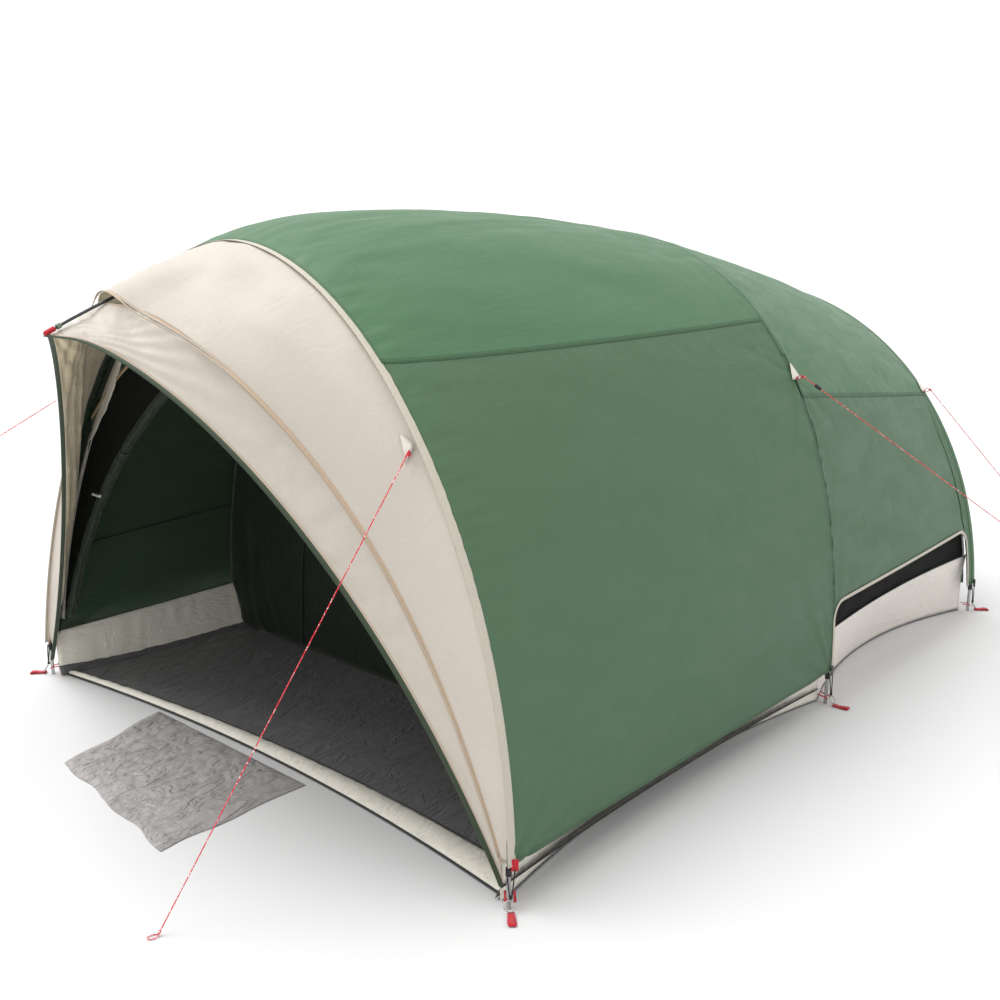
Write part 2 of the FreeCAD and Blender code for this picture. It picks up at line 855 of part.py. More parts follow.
def bowed(start, end, bow):
    """An arc on the ground from start to end that curves in towards the tent's middle."""
    middle = (start + end) * 0.5
    centre = Vec(0, (MID_Y + REAR_Y) / 4, 0)
    inward = (end - start).cross(Z_AXIS)
    inward.normalize()
    if inward.dot(centre - middle) < 0:
        inward = inward * -1
    middle = middle + inward * bow
    if (middle - start).cross(end - middle).z < 0:
        start, end = end, start
    return Part.Arc(start, middle, end)


def floor_edges(inset=0.0):
    """The floor's outline: one bowed edge between each two neighbouring feet."""
    x = FLOOR_HALF - inset
    front, rear = size("floor_inset") - 10 + inset, REAR_Y - size("floor_inset") + 10 - inset
    right = [Vec(x, front, 0), Vec(x, MID_Y, 0), Vec(x, rear, 0)]
    left = [Vec(-point.x, point.y, 0) for point in reversed(right)]
    corners = right + left
    bows = [size("side_bow"), size("vent_bow"), size("side_bow") * 0.7]
    bows += [size("vent_bow"), size("side_bow"), size("side_bow")]
    ends = corners[1:] + corners[:1]
    return [bowed(start, end, bow) for start, end, bow in zip(corners, ends, bows)]


def make_groundsheet():
    body = new_body("groundsheet")
    sketch = new_sketch(body, "FloorOutline", "XY_Plane")
    close_outline(sketch, floor_edges())
    pad(body, sketch, "floor_thick")
    nodes.append(body)


def make_threshold():
    """A cream strip along the floor's front edge."""
    front = floor_edges(6)[5]
    outline = front.toShape()
    start, middle, end = [outline.valueAt(mix(outline.FirstParameter, outline.LastParameter, share))
                          for share in (0.0, 0.5, 1.0)]
    back = Vec(0, size("threshold_width"), 0)
    inset = Vec(60, 0, 0) * (1 if start.x < 0 else -1)
    far = [start + back + inset, middle + back, end + back - inset]
    edges = [arc([start, middle, end]), line(end, far[2]), arc(list(reversed(far))), line(far[0], start)]
    strip = Part.Face(Part.Wire(edges)).extrude(Vec(0, 0, CLOTH))
    strip.translate(Vec(0, 0, size("floor_thick") + 0.3))
    keep("threshold", strip)


def make_doormat():
    body = new_body("doormat")
    sketch = new_sketch(body, "MatOutline", "XY_Plane")
    back = 76
    left, right = -size("mat_left"), size("mat_right")
    corners = [Vec(left + size("mat_slant"), -size("mat_left_length"), 0)]
    corners += [Vec(right, -size("mat_right_length"), 0), Vec(right, back, 0), Vec(left, back, 0)]
    close_outline(sketch, [Part.LineSegment(corners[i], corners[(i + 1) % 4]) for i in range(4)])
    pad(body, sketch, "floor_thick")
    nodes.append(body)


def leaning_wall(first_y, last_y, bow, height, stations=5):
    """A wall whose foot follows the floor's bowed edge and whose top runs straight."""
    sections = []
    inset = 3.0
    base = size("floor_thick") + 0.3
    for step in range(stations):
        share = step / (stations - 1.0)
        y = mix(first_y, last_y, share)
        low_x = FLOOR_HALF - inset - bow * 4 * share * (1 - share)
        high_x = FLOOR_HALF + 6 - bow * 0.3 * 4 * share * (1 - share)
        ring = [Vec(low_x, y, base), Vec(high_x, y, height)]
        ring += [Vec(high_x - CLOTH, y, height), Vec(low_x - CLOTH, y, base)]
        sections.append(Part.makePolygon(ring + ring[:1]))
    return Part.makeLoft(sections, True, False)


def make_bathtub():
    clear = 26.0
    porch = leaning_wall(clear + 14, MID_Y - clear, size("side_bow"), size("tub_height"))
    cabin = leaning_wall(MID_Y + clear, REAR_Y - clear - 10, size("vent_bow"), size("cabin_tub_height"))
    side_node("bathtub_porch", porch)
    side_node("bathtub_cabin", cabin)
    rear = Part.makeBox(2 * (FLOOR_HALF - 60), CLOTH, size("tub_height"))
    rear.translate(Vec(-(FLOOR_HALF - 60), REAR_Y - 95, size("floor_thick") + 0.3))
    keep("bathtub_rear", rear)


def make_vent_mesh():
    """Black mesh above the cabin's cream wall, behind each vent."""
    bow = size("vent_bow") * 0.3
    low_z, high_z = size("cabin_tub_height") + 1, 470
    sections = []
    for step in range(5):
        share = step / 4.0
        y = mix(VENT_START + 14, REAR_Y - 42, share)
        arch = tail_arch((y - MID_Y) / (REAR_Y - MID_Y))
        low_x = FLOOR_HALF - bow * 4 * share * (1 - share)
        high_x = arch.point(arch.turn_at(high_z), INNER - 8).x
        ring = [Vec(low_x, y, low_z), Vec(high_x, y, high_z)]
        ring += [Vec(high_x - CLOTH, y, high_z), Vec(low_x - CLOTH, y, low_z)]
        sections.append(Part.makePolygon(ring + ring[:1]))
    keep("vent_mesh", both_sides(Part.makeLoft(sections, True, False)))


# ---------------------------------------------------------------- cabin

LINER_LOW = 480
LINER_SEAM = 1150


def make_cabin():
    """The sleeping cabin: a front wall across the tent and a liner under the fly."""
    gap = size("liner_gap")
    inner, outer = INNER - gap - CLOTH, INNER - gap
    share_at = size("cabin_start") / MID_Y
    arch = roof_arch(share_at)
    step_z = size("tub_height") + 35
    step_half = FLOOR_HALF - size("side_bow") - 50
    upper = hoop_face(arch, step_z, -gap - 8).extrude(Vec(0, CLOTH, 0))
    lower = Part.makeBox(2 * step_half, CLOTH, step_z - 4, Vec(-step_half, 0, 4))
    wall = upper.fuse(lower).removeSplitter()
    wall.translate(Vec(0, size("cabin_start") - 8, 0))
    keep("cabin_front_wall", wall)
    roofs = []
    sides = []
    runs = ((roof_arch, (share_at + 0.01, 0.75, 0.998), 0.0), (tail_arch, (0.002, 0.5, 0.955), 230.0))
    for make_arch, shares, drop in runs:

        def seam(share):
            return LINER_SEAM - drop * share

        def low(share):
            return LINER_LOW

        roofs.append(skin(roof_run(make_arch, shares, seam), inner, outer))
        sides.append(skin(panel_run(make_arch, shares, low, seam), inner, outer, points=5))
    keep("cabin_liner_roof", Part.makeCompound(roofs))
    keep("cabin_liner_sides", Part.makeCompound(sides + [mirrored(side) for side in sides]))


# ---------------------------------------------------------------- guy lines

def skin_frame(make_arch, share, z):
    """A spot on the right-hand side of the skin, with the ways up, along and out of the cloth."""
    step = 0.02
    turn = make_arch(share).turn_at(z)
    spot = make_arch(share).point(turn, OUTER + 3)
    up = make_arch(share).point(turn + step, OUTER + 3) - spot
    along = make_arch(share + step).point(turn, OUTER + 3) - spot
    outward = along.cross(up)
    for way in (up, along, outward):
        way.normalize()
    return spot, up, along, outward


def guy_outs():
    """Where each pair of guy lines is sewn on, on the right-hand side."""
    return (
        skin_frame(porch_arch, 0.85, 1076),
        skin_frame(roof_arch, 1.0, 1085),
        skin_frame(tail_arch, 1.0, 870),
    )


PATCH_LENGTH = 58
PATCH_HALF = 26
TIE_LOOP_RADIUS = 7
TIE_LOOP_OUT = 13                # skin to the middle of a tie loop
GUY_START_OUT = 26               # skin to the start of a guy line


def make_guy_outs():
    """A cream triangle on the skin at each guy-out, and the red loop that the line is tied to."""
    patches = []
    loops = []
    for spot, up, along, outward in guy_outs():
        tip = spot + outward * 2
        top = tip + up * PATCH_LENGTH
        outline = Part.makePolygon([tip, top - along * PATCH_HALF, top + along * PATCH_HALF, tip])
        patches.append(Part.Face(outline).extrude(outward * 2))
        loops.append(Part.makeTorus(TIE_LOOP_RADIUS, 1.5, spot + outward * TIE_LOOP_OUT, along))
    keep("guyout_patches", Part.makeCompound(patches + [mirrored(patch) for patch in patches]))
    keep("guyout_loops", Part.makeCompound(loops + [mirrored(loop) for loop in loops]))


def guy_routes():
    """Name, start and end of each guy line. The left one ends in its loop, in the air, under tension."""
    front, mid, rear = [spot + outward * GUY_START_OUT for spot, up, along, outward in guy_outs()]
    front_left = Vec(-front.x, front.y, front.z)
    return (
        ("front_right", front, Vec(552, -640, 6)),
        ("mid_right", mid, Vec(1750, 3050, 6)),
        ("rear_right", rear, Vec(1550, 3200, 6)),
        ("front_left", front_left, front_left + Vec(-1295, -1227, -1076) * 0.26),
    )


LOOP_RADIUS = 11.0


def make_guys():
    for name, start, end in guy_routes():
        heading = end - start
        heading.normalize()
        cord = Part.makeCylinder(size("guy_dia") / 2, (end - start).Length, start, heading)
        keep("guy_" + name, cord)
        knot_radius = 3.4
        knot = Part.makeSphere(knot_radius, end + heading * knot_radius)
        on_ground = end.z < 50
        away = Vec(heading.x, heading.y, 0) if on_ground else heading
        away.normalize()
        middle = end + away * (LOOP_RADIUS + size("guy_dia") / 2 + 2 * knot_radius + 0.4)
        if on_ground:
            middle.z = 2.5
        flat_way = Z_AXIS if on_ground else heading.cross(Z_AXIS)
        ring = Part.makeTorus(LOOP_RADIUS, size("guy_dia") / 2, middle, flat_way)
        keep("guy_end_" + name, Part.makeCompound([knot, ring]))
    name, start, end = guy_routes()[1]
    heading = end - start
    heading.normalize()
    body = new_body("runner_master")
    pad(body, round_sketch(body, "RunnerSketch", "XY_Plane", "runner_dia"), "runner_length")
    document.recompute()
    bore = Part.makeCylinder(size("guy_dia") / 2 + 0.4, size("runner_length"))
    runner = body.Shape.cut(bore)
    runner.Placement = facing(start + heading * 60, heading)
    keep("guy_runner", runner)


# ---------------------------------------------------------------- build

def check_and_write():
    os.makedirs("parts", exist_ok=True)
    for item in document.Objects:
        if "Invalid" in item.State or "Error" in item.State:
            raise RuntimeError("%s failed: %s" % (item.Name, item.State))
    held_by_cord = ("guy_front", "guy_mid", "guy_rear", "guy_end", "guy_runner")
    solids = [node.Shape for node in nodes if not node.Label.startswith(held_by_cord)]
    box = Part.makeCompound(solids).optimalBoundingBox(False, False)
    middle = Vec(0, -(box.YMin + box.YMax) / 2, 0)
    print("box", box, "moved by", middle.y)
    for node in nodes:
        shape = node.Shape.copy()
        if shape.isNull() or not shape.isValid():
            raise RuntimeError("%s has no valid shape" % node.Label)
        node.Placement = FreeCAD.Placement(middle, FreeCAD.Rotation()).multiply(node.Placement)
        node.Shape.exportStep("parts/%s.step" % node.Label)
    print(len(nodes), "nodes")


make_poles()
make_pole_feet()
make_collars()
make_corner_rings()
make_corner_straps()
make_ridge_pockets()
make_visor()
make_porch_panel()
make_main_fly()
make_tail_fly()
make_vent_piping()
make_rear_end()
make_bindings()
make_front_frame()
make_door()
make_ties()
make_sliders()
make_groundsheet()
make_threshold()
make_doormat()
make_bathtub()
make_vent_mesh()
make_cabin()
make_guy_outs()
make_guys()
document.recompute()
check_and_write()
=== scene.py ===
import math

import bpy
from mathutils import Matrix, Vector, noise


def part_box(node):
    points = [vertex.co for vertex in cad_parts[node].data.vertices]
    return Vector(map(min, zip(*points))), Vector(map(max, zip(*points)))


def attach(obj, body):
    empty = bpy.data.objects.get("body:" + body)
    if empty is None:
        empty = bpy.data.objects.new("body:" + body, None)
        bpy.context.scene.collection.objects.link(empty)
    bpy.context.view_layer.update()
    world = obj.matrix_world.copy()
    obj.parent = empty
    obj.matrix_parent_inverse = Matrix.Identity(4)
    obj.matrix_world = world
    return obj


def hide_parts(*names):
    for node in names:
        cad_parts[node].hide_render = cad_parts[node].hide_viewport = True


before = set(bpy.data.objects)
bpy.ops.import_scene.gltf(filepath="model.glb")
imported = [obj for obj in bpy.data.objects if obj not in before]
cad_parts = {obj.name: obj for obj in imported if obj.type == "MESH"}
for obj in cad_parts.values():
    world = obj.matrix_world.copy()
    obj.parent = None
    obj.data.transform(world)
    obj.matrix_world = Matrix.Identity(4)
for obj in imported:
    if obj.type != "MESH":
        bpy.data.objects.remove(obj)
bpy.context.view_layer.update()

# A pole tent in its CAD frame: +Z up, -Y towards the visor, metres throughout.
# The CAD solids give the places. Each cloth panel is a sheet between two arches, with folds on it.

# ---------------------------------------------------------------- places, read from the frame

FOOT_RADIUS = 0.006
feet_low, feet_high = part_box("pole_feet")
mid_low, mid_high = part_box("mid_hoop_rods")
FRONT_Y = feet_low[1] + FOOT_RADIUS
REAR_Y = feet_high[1] - FOOT_RADIUS
MID_Y = (mid_low[1] + mid_high[1]) / 2

HALF = 1.1                       # centre plane to a foot
FLOOR_HALF = 1.07
LEAN = 0.065                     # the front hoop leans back by this much per metre of height
VISOR_REACH = 0.48
BAND_REACH = 0.307
HOOD_REACH = 0.15
HEM = 0.12
SKIN = 0.010                     # pole centre line to the middle of the cloth
CLOTH = 0.0012
GUY = 0.003
ROOF_SEAM = (1.29, 1.275)        # height of the seam between roof and side, front and back
TAIL_SEAM = (1.04, 0.87)
SIDES = ((1, "right"), (-1, "left"))
X, Y, Z = Vector((1, 0, 0)), Vector((0, 1, 0)), Vector((0, 0, 1))
BODY = "root"                    # the body that all but the doormat ride on


def mix(low, high, share):
    return low + (high - low) * share


def smooth(low, high, value):
    """0 below low and 1 above high, with a soft step between."""
    share = min(1.0, max(0.0, (value - low) / (high - low)))
    return share * share * (3 - 2 * share)


DIP_HALF = 0.065                 # half the width of the sag under the ridge pole


class Arch:
    """A rounded arch from foot to foot. A turn of 0 is the right foot and pi is the left foot."""

    def __init__(self, height, fullness, depth, rise=0.0, dip=0.0):
        self.height = height
        self.fullness = fullness
        self.depth = depth       # gives y from x and z
        self.rise = rise or 1.0 / fullness     # left out, the arch is a plain superellipse
        self.dip = dip           # how far the crown sags, under the ridge pole

    def point(self, turn, lift=0.0):
        across = abs(math.cos(turn)) ** (2.0 / self.fullness)
        x = (HALF + lift) * math.copysign(across, math.cos(turn))
        z = (self.height + lift) * abs(math.sin(turn)) ** (2.0 * self.rise)
        return Vector((x, self.depth(x, z), z - self.dip * math.exp(-(x / DIP_HALF) ** 2)))

    def turn_at(self, z):
        return math.asin(min(1.0, z / self.height) ** (0.5 / self.rise))

    def even(self, first, last, count, lift=SKIN, samples=160):
        """Points at even distances along the arch between two turns."""
        spots = [self.point(mix(first, last, step / samples), lift) for step in range(samples + 1)]
        reached = [0.0]
        for before, after in zip(spots, spots[1:]):
            reached.append(reached[-1] + (after - before).length)
        points = []
        place = 0
        for step in range(count + 1):
            goal = reached[-1] * step / count
            while place < samples - 1 and reached[place + 1] < goal:
                place += 1
            run = reached[place + 1] - reached[place]
            points.append(spots[place].lerp(spots[place + 1], (goal - reached[place]) / run))
        return points


def visor_depth(x, z):
    return FRONT_Y - VISOR_REACH * max(0.0, 1 - abs(x) / HALF) ** 1.5


def band_depth(x, z):
    return FRONT_Y - BAND_REACH * (z / 1.45) ** 3.4


VISOR = Arch(1.371, 1.53, visor_depth, 0.98, 0.017)
BAND = Arch(1.45, 1.7, band_depth, 0.9)
BAND_UNDER = Arch(1.45, 1.7, band_depth, 0.9, 0.028)
FRONT = Arch(1.56, 1.88, lambda x, z: FRONT_Y + LEAN * z)
MID = Arch(1.54, 2.6, lambda x, z: MID_Y)
REAR = Arch(1.26, 2.1, lambda x, z: REAR_Y)
HOOD = Arch(1.19, 2.0, lambda x, z: REAR_Y + HOOD_REACH * (z / 1.19) ** 3.4)


def arch_between(start, end, share, swell=0.0, skew=1.0):
    place = max(0.0, share) ** skew
    height = mix(start.height, end.height, share) + swell * 4 * place * (1 - place)
    fullness = mix(start.fullness, end.fullness, share)
    rise = mix(start.rise, end.rise, share)
    dip = mix(start.dip, end.dip, share)
    return Arch(height, fullness, lambda x, z: mix(start.depth(x, z), end.depth(x, z), share), rise, dip)


def roof_arch(share):
    return arch_between(FRONT, MID, share, 0.078, 0.72)


def tail_arch(share):
    return arch_between(MID, REAR, share, 0.012)


def moved(arch, forward):
    return Arch(arch.height, arch.fullness, lambda x, z: arch.depth(x, z) + forward, arch.rise, arch.dip)


# ---------------------------------------------------------------- camera

EYE = (2.877, FRONT_Y - 2.0155, 1.77)
LOOKS_DOWN, LOOKS_LEFT = math.radians(15.1), math.radians(41.9)
LENS = 44.6                      # millimetres, on a 36 mm sensor


def aim_camera():
    data = bpy.data.cameras.new("camera")
    data.sensor_width = 36.0
    data.lens = LENS
    camera = bpy.data.objects.new("camera", data)
    bpy.context.collection.objects.link(camera)
    camera.location = EYE
    camera.rotation_euler = (math.radians(90) - LOOKS_DOWN, 0.0, LOOKS_LEFT)
    bpy.context.scene.camera = camera


aim_camera()


# ---------------------------------------------------------------- materials

def tone(red, green, blue):
    """A colour given as the eye sees it, from 0 to 255, as linear light."""
    linear = []
    for level in (red, green, blue):
        share = level / 255
        linear.append(share / 12.92 if share <= 0.04045 else ((share + 0.055) / 1.055) ** 2.4)
    return (*linear, 1.0)


class Surface:
    """A principled material under construction, with short ways to add procedural detail."""

    def __init__(self, name, colour, roughness, metallic=0.0, specular=0.5, sheen=0.0, coat=0.0):
        self.material = bpy.data.materials.new(name)
        self.material.use_nodes = True
        self.tree = self.material.node_tree
        self.core = self.tree.nodes["Principled BSDF"]
        for socket, value in (("Base Color", colour), ("Roughness", roughness), ("Metallic", metallic),
                              ("Specular IOR Level", specular), ("Sheen Weight", sheen),
                              ("Coat Weight", coat)):
            self.core.inputs[socket].default_value = value
        self.colour = colour
        self.material.diffuse_color = colour
        self.height = None

    def node(self, kind, **settings):
        made = self.tree.nodes.new("ShaderNode" + kind)
        for key, value in settings.items():
            setattr(made, key, value)
        return made

    def feed(self, socket, value):
        if isinstance(value, bpy.types.NodeSocket):
            self.tree.links.new(value, socket)
        else:
            socket.default_value = value

    def place(self, kind="Object", stretch=(1, 1, 1), turn=(0, 0, 0)):
        """Coordinates in metres: of the object, or of the cloth itself."""
        if kind == "Object":
            source = self.node("TexCoord").outputs["Object"]
        else:
            source = self.node("UVMap", uv_map=kind).outputs["UV"]
        mapping = self.node("Mapping")
        mapping.inputs["Scale"].default_value = stretch
        mapping.inputs["Rotation"].default_value = turn
        self.feed(mapping.inputs["Vector"], source)
        return mapping.outputs["Vector"]

    def noise(self, where, size, detail=3.0, rough=0.5, twist=0.0):
        made = self.node("TexNoise")
        self.feed(made.inputs["Vector"], where)
        made.inputs["Scale"].default_value = 1.0 / size
        made.inputs["Detail"].default_value = detail
        made.inputs["Roughness"].default_value = rough
        made.inputs["Distortion"].default_value = twist
        return made.outputs["Fac"]

    def stripes(self, where, period, along="X", twist=0.0):
        made = self.node("TexWave", bands_direction=along)
        self.feed(made.inputs["Vector"], where)
        made.inputs["Scale"].default_value = 0.314 / period
        made.inputs["Distortion"].default_value = twist
        return made.outputs["Fac"]

    def maths(self, operation, first, second=0.0):
        made = self.node("Math", operation=operation)
        for socket, value in zip(made.inputs, (first, second)):
            self.feed(socket, value)
        return made.outputs[0]

    def step(self, value, low, high, start=0.0, end=1.0):
        made = self.node("MapRange", interpolation_type="SMOOTHSTEP")
        self.feed(made.inputs["Value"], value)
        for key, number in zip(("From Min", "From Max", "To Min", "To Max"), (low, high, start, end)):
            made.inputs[key].default_value = number
        return made.outputs["Result"]

    def split(self, vector):
        made = self.node("SeparateXYZ")
        self.feed(made.inputs[0], vector)
        return made.outputs

    def paint(self, share, colour, blend="MIX"):
        """Lays a colour over what is there, by a share from 0 to 1."""
        made = self.node("Mix", data_type="RGBA", blend_type=blend)
        for socket, value in zip(("Factor", "A", "B"), (share, self.colour, colour)):
            self.feed(made.inputs[socket], value)
        self.colour = made.outputs["Result"]
        self.feed(self.core.inputs["Base Color"], self.colour)

    def shade(self, share, depth):
        """Darkens what is there by up to this depth."""
        self.paint(share, (1 - depth, 1 - depth, 1 - depth, 1.0), "MULTIPLY")

    def bump(self, height, distance, strength=1.0):
        made = self.node("Bump")
        made.inputs["Distance"].default_value = distance
        made.inputs["Strength"].default_value = strength
        self.feed(made.inputs["Height"], height)
        if self.height:
            self.feed(made.inputs["Normal"], self.height)
        self.height = made.outputs["Normal"]
        self.feed(self.core.inputs["Normal"], self.height)

    def roughen(self, value, low, high):
        self.feed(self.core.inputs["Roughness"], self.step(value, 0.3, 0.7, low, high))


def add_weave(surface, thread=0.0009, depth=0.00012):
    """A plain weave, in the cloth's own metres."""
    cloth = surface.place("Cloth")
    warp = surface.stripes(cloth, thread, "X")
    weft = surface.stripes(cloth, thread, "Y")
    threads = surface.maths("MULTIPLY", warp, weft)
    surface.bump(threads, depth, 0.6)
    # Painted shade: the cloth is darkened between the threads, where they shade each other.
    surface.shade(surface.maths("SUBTRACT", 1.0, threads), 0.06)


def add_stitches(surface, thread_colour, distances, length=0.0035):
    """Rows of stitches at these distances from each edge of the panel."""
    near = surface.split(surface.place("Cloth"))
    far = surface.split(surface.place("FarEdge"))
    for along, across in ((0, 1), (1, 0)):
        run = surface.maths("FRACT", surface.maths("DIVIDE", near[along], length))
        dash = surface.step(run, 0.62, 0.72, 1.0, 0.0)
        for edge in (near[across], far[across]):
            for distance in distances:
                away = surface.maths("ABSOLUTE", surface.maths("SUBTRACT", edge, distance))
                line = surface.step(away, 0.0005, 0.0010, 1.0, 0.0)
                groove = surface.step(away, 0.001, 0.004, 0.0, 1.0)
                # Painted shade: the cloth is darkened along each stitch groove.
                surface.shade(surface.maths("SUBTRACT", 1.0, groove), 0.18)
                surface.bump(groove, 0.0006)
                surface.paint(surface.maths("MULTIPLY", line, dash), thread_colour)


def fabric(name, colour, roughness, dark=0.10, crinkle=0.0012, sheen=0.15, stitches=None, weave=0.0009):
    """Thin coated cloth: mottled colour, creases of two sizes, a weave, and rows of stitches."""
    surface = Surface(name, colour, roughness, specular=0.22, sheen=sheen)
    body = surface.place()
    surface.shade(surface.noise(body, 0.35, 4), dark)
    surface.shade(surface.step(surface.noise(body, 0.012, 3), 0.45, 0.75), dark * 0.4)
    creases = surface.noise(surface.place(stretch=(1, 0.35, 0.8)), 0.07, 5, 0.62, 0.6)
    sharp = surface.maths("ABSOLUTE", surface.maths("SUBTRACT", creases, 0.5))
    surface.bump(surface.step(sharp, 0.0, 0.09), crinkle)
    surface.bump(surface.noise(surface.place(stretch=(0.5, 1, 0.6)), 0.022, 4, 0.6), crinkle * 0.5)
    surface.roughen(creases, roughness - 0.07, roughness + 0.08)
    add_weave(surface, weave)
    if stitches:
        add_stitches(surface, *stitches)
    return surface.material


ORANGE_THREAD = tone(226, 168, 110)
GREEN_THREAD = tone(66, 92, 70)

FLAT_SEAM = (GREEN_THREAD, (0.004, 0.011))

# The roof and the sides are one green cloth. The roof's copy is painted a little lighter and the sides' copy
# a little darker: painted light and painted shade for how the light falls on each.
FLY_ROOF_LIT = fabric("fly_green_roof_painted_light", tone(80, 116, 84), 0.50, 0.06, 0.0004, 0.05, FLAT_SEAM)
FLY_SIDE_SHADED = fabric("fly_green_side_painted_shade", tone(80, 109, 82), 0.50, 0.06, 0.0004, 0.05, FLAT_SEAM)
FLY_INSIDE = fabric("fly_green_inside", tone(52, 76, 52), 0.62, crinkle=0.0008)
CREAM = fabric("cream_outside", tone(200, 192, 181), 0.50, 0.05, 0.0003, stitches=(ORANGE_THREAD, (0.005,)))
# The inside cream is painted much lighter than the outside cream: painted light for the light that shines
# through the cloth.
CREAM_INSIDE_LIT = fabric("cream_inside_painted_light", tone(246, 230, 196), 0.6, 0.06, 0.0012)
# The low walls' own pale cream, painted lighter still: painted light for the light that comes through the
# fly.
CREAM_WALL = fabric("cream_wall", tone(250, 245, 232), 0.6, 0.08, 0.0014)
CREAM_LOW = fabric("cream_low", tone(236, 230, 222), 0.6, 0.08, 0.0014)
CABIN = fabric("cabin_green", tone(38, 58, 38), 0.66, 0.16, 0.0007)
CABIN_DARK = fabric("cabin_dark", tone(24, 36, 22), 0.7, 0.16, 0.0007)
# The groundsheet's own grey, painted lighter: painted light for the light that comes through the fly onto the
# floor.
FLOOR = fabric("floor_grey", tone(110, 110, 111), 0.45, 0.22, 0.0040, weave=0.0016)
MAT = fabric("mat_grey", tone(174, 169, 168), 0.50, 0.22, 0.0045, weave=0.0016)
ROLL_CLOTH = fabric("roll_green", tone(40, 52, 36), 0.5, 0.2, 0.0014, sheen=0.1)


def webbing(name, colour, slant=0.8):
    """Woven tape with a diagonal rib."""
    surface = Surface(name, colour, 0.72, specular=0.25, sheen=0.3)
    cloth = surface.place("Cloth", turn=(0, 0, slant))
    rib = surface.stripes(cloth, 0.0022, "X")
    surface.bump(rib, 0.0004)
    # Painted shade: the tape is darkened in the furrows between its ribs.
    surface.shade(surface.maths("SUBTRACT", 1.0, rib), 0.28)
    surface.shade(surface.noise(surface.place(), 0.02, 3), 0.12)
    return surface.material


BINDING = webbing("binding_green", tone(60, 78, 54))
BINDING_DARK = webbing("binding_dark", tone(48, 62, 46))
RED = webbing("webbing_red", tone(206, 24, 44))
PIPING = webbing("piping_black", tone(34, 38, 34))
TAPE = webbing("tape_cream", tone(214, 206, 190))
ZIP_TAPE = webbing("zip_cream", tone(232, 226, 214), 0.0)
ZIP_DARK = webbing("zip_dark", tone(24, 34, 26), 0.0)


def net(name, colour, hole=0.0016, open_share=0.34):
    """A fine net with round holes."""
    surface = Surface(name, colour, 0.8, specular=0.2)
    cloth = surface.place("Cloth")
    first = surface.stripes(cloth, hole, "X")
    second = surface.stripes(cloth, hole, "Y")
    threads = surface.maths("MAXIMUM", first, second)
    surface.bump(threads, 0.0003)
    surface.shade(surface.noise(surface.place(), 0.2, 3), 0.25)
    covered = surface.step(threads, open_share, open_share + 0.1, 0.25, 1.0)
    surface.feed(surface.core.inputs["Alpha"], covered)
    return surface.material


NET = net("net_black", tone(20, 21, 20))


def cord_flecks():
    """Braided cord: red with white flecks that wind round it."""
    surface = Surface("guy_red", tone(208, 26, 46), 0.65, specular=0.3, sheen=0.2)
    flecks = surface.noise(surface.place(), 0.0065, 2, 0.5, 1.2)
    surface.paint(surface.step(flecks, 0.58, 0.62), tone(240, 232, 226))
    surface.bump(surface.noise(surface.place(), 0.0012, 2), 0.0002)
    return surface.material


CORD = cord_flecks()


def hard(name, colour, roughness, metallic=0.0, grain=0.004, scratch=0.0001, coat=0.0):
    """Metal or moulded plastic, with fine grain, worn patches and scratches."""
    surface = Surface(name, colour, roughness, metallic, coat=coat)
    body = surface.place()
    surface.shade(surface.noise(body, 0.03, 4), 0.18)
    surface.shade(surface.step(surface.noise(body, grain, 2), 0.5, 0.8), 0.10)
    surface.bump(surface.noise(body, grain, 3), scratch)
    surface.roughen(surface.noise(body, 0.015, 4), max(0.05, roughness - 0.1), roughness + 0.12)
    return surface.material


FIBREGLASS = hard("fibreglass_dark", tone(44, 44, 48), 0.35, coat=0.3)
STEEL = hard("steel_tube", tone(188, 188, 186), 0.32, 1.0, 0.002)
BLACK_PLASTIC = hard("plastic_black", tone(30, 30, 32), 0.5)
GREEN_PLASTIC = hard("plastic_green", tone(112, 130, 108), 0.5)
WHITE_PLASTIC = hard("plastic_white", tone(232, 230, 224), 0.45)
ELASTIC = webbing("elastic_black", tone(26, 26, 28))


# ---------------------------------------------------------------- making pieces

def finish_piece(piece, nodes=()):
    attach(piece, BODY)
    if nodes:
        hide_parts(*nodes)
    return piece


def stands_for(node, here=True):
    """The CAD node that a piece replaces. Its twins on other sides replace none."""
    return (node,) if here else ()


def on_side(point, side):
    return Vector((side * point.x, point.y, point.z))


def mirrored(row):
    """The row on the tent's left, turned round so that the cloth still faces out."""
    return [on_side(point, -1) for point in reversed(row)]


def facing(row, side):
    """The row in the order that makes its cloth face out on this side of the tent."""
    return row if side > 0 else list(reversed(row))


def cloth_lengths(rows):
    """How far each point lies across and along the cloth from its first edges, in metres."""
    tall, wide = len(rows), len(rows[0])
    across = [[0.0] * wide for _ in rows]
    along = [[0.0] * wide for _ in rows]
    for r in range(tall):
        for c in range(1, wide):
            across[r][c] = across[r][c - 1] + (rows[r][c] - rows[r][c - 1]).length
    for r in range(1, tall):
        for c in range(wide):
            along[r][c] = along[r - 1][c] + (rows[r][c] - rows[r - 1][c]).length
    return across, along


def raised(rows, relief, across, along):
    """The points, each moved out along the cloth's normal by its folds."""
    tall, wide = len(rows), len(rows[0])
    points = []
    for r in range(tall):
        for c in range(wide):
            point = rows[r][c]
            side = rows[r][min(c + 1, wide - 1)] - rows[r][max(c - 1, 0)]
            ahead = rows[min(r + 1, tall - 1)][c] - rows[max(r - 1, 0)][c]
            normal = ahead.cross(side)
            if normal.length > 0:
                normal.normalize()
                edge = min(across[r][c], across[r][-1] - across[r][c],
                           along[r][c], along[-1][c] - along[r][c])
                point = point + normal * relief(point, edge)
            points.append(point)
    return points


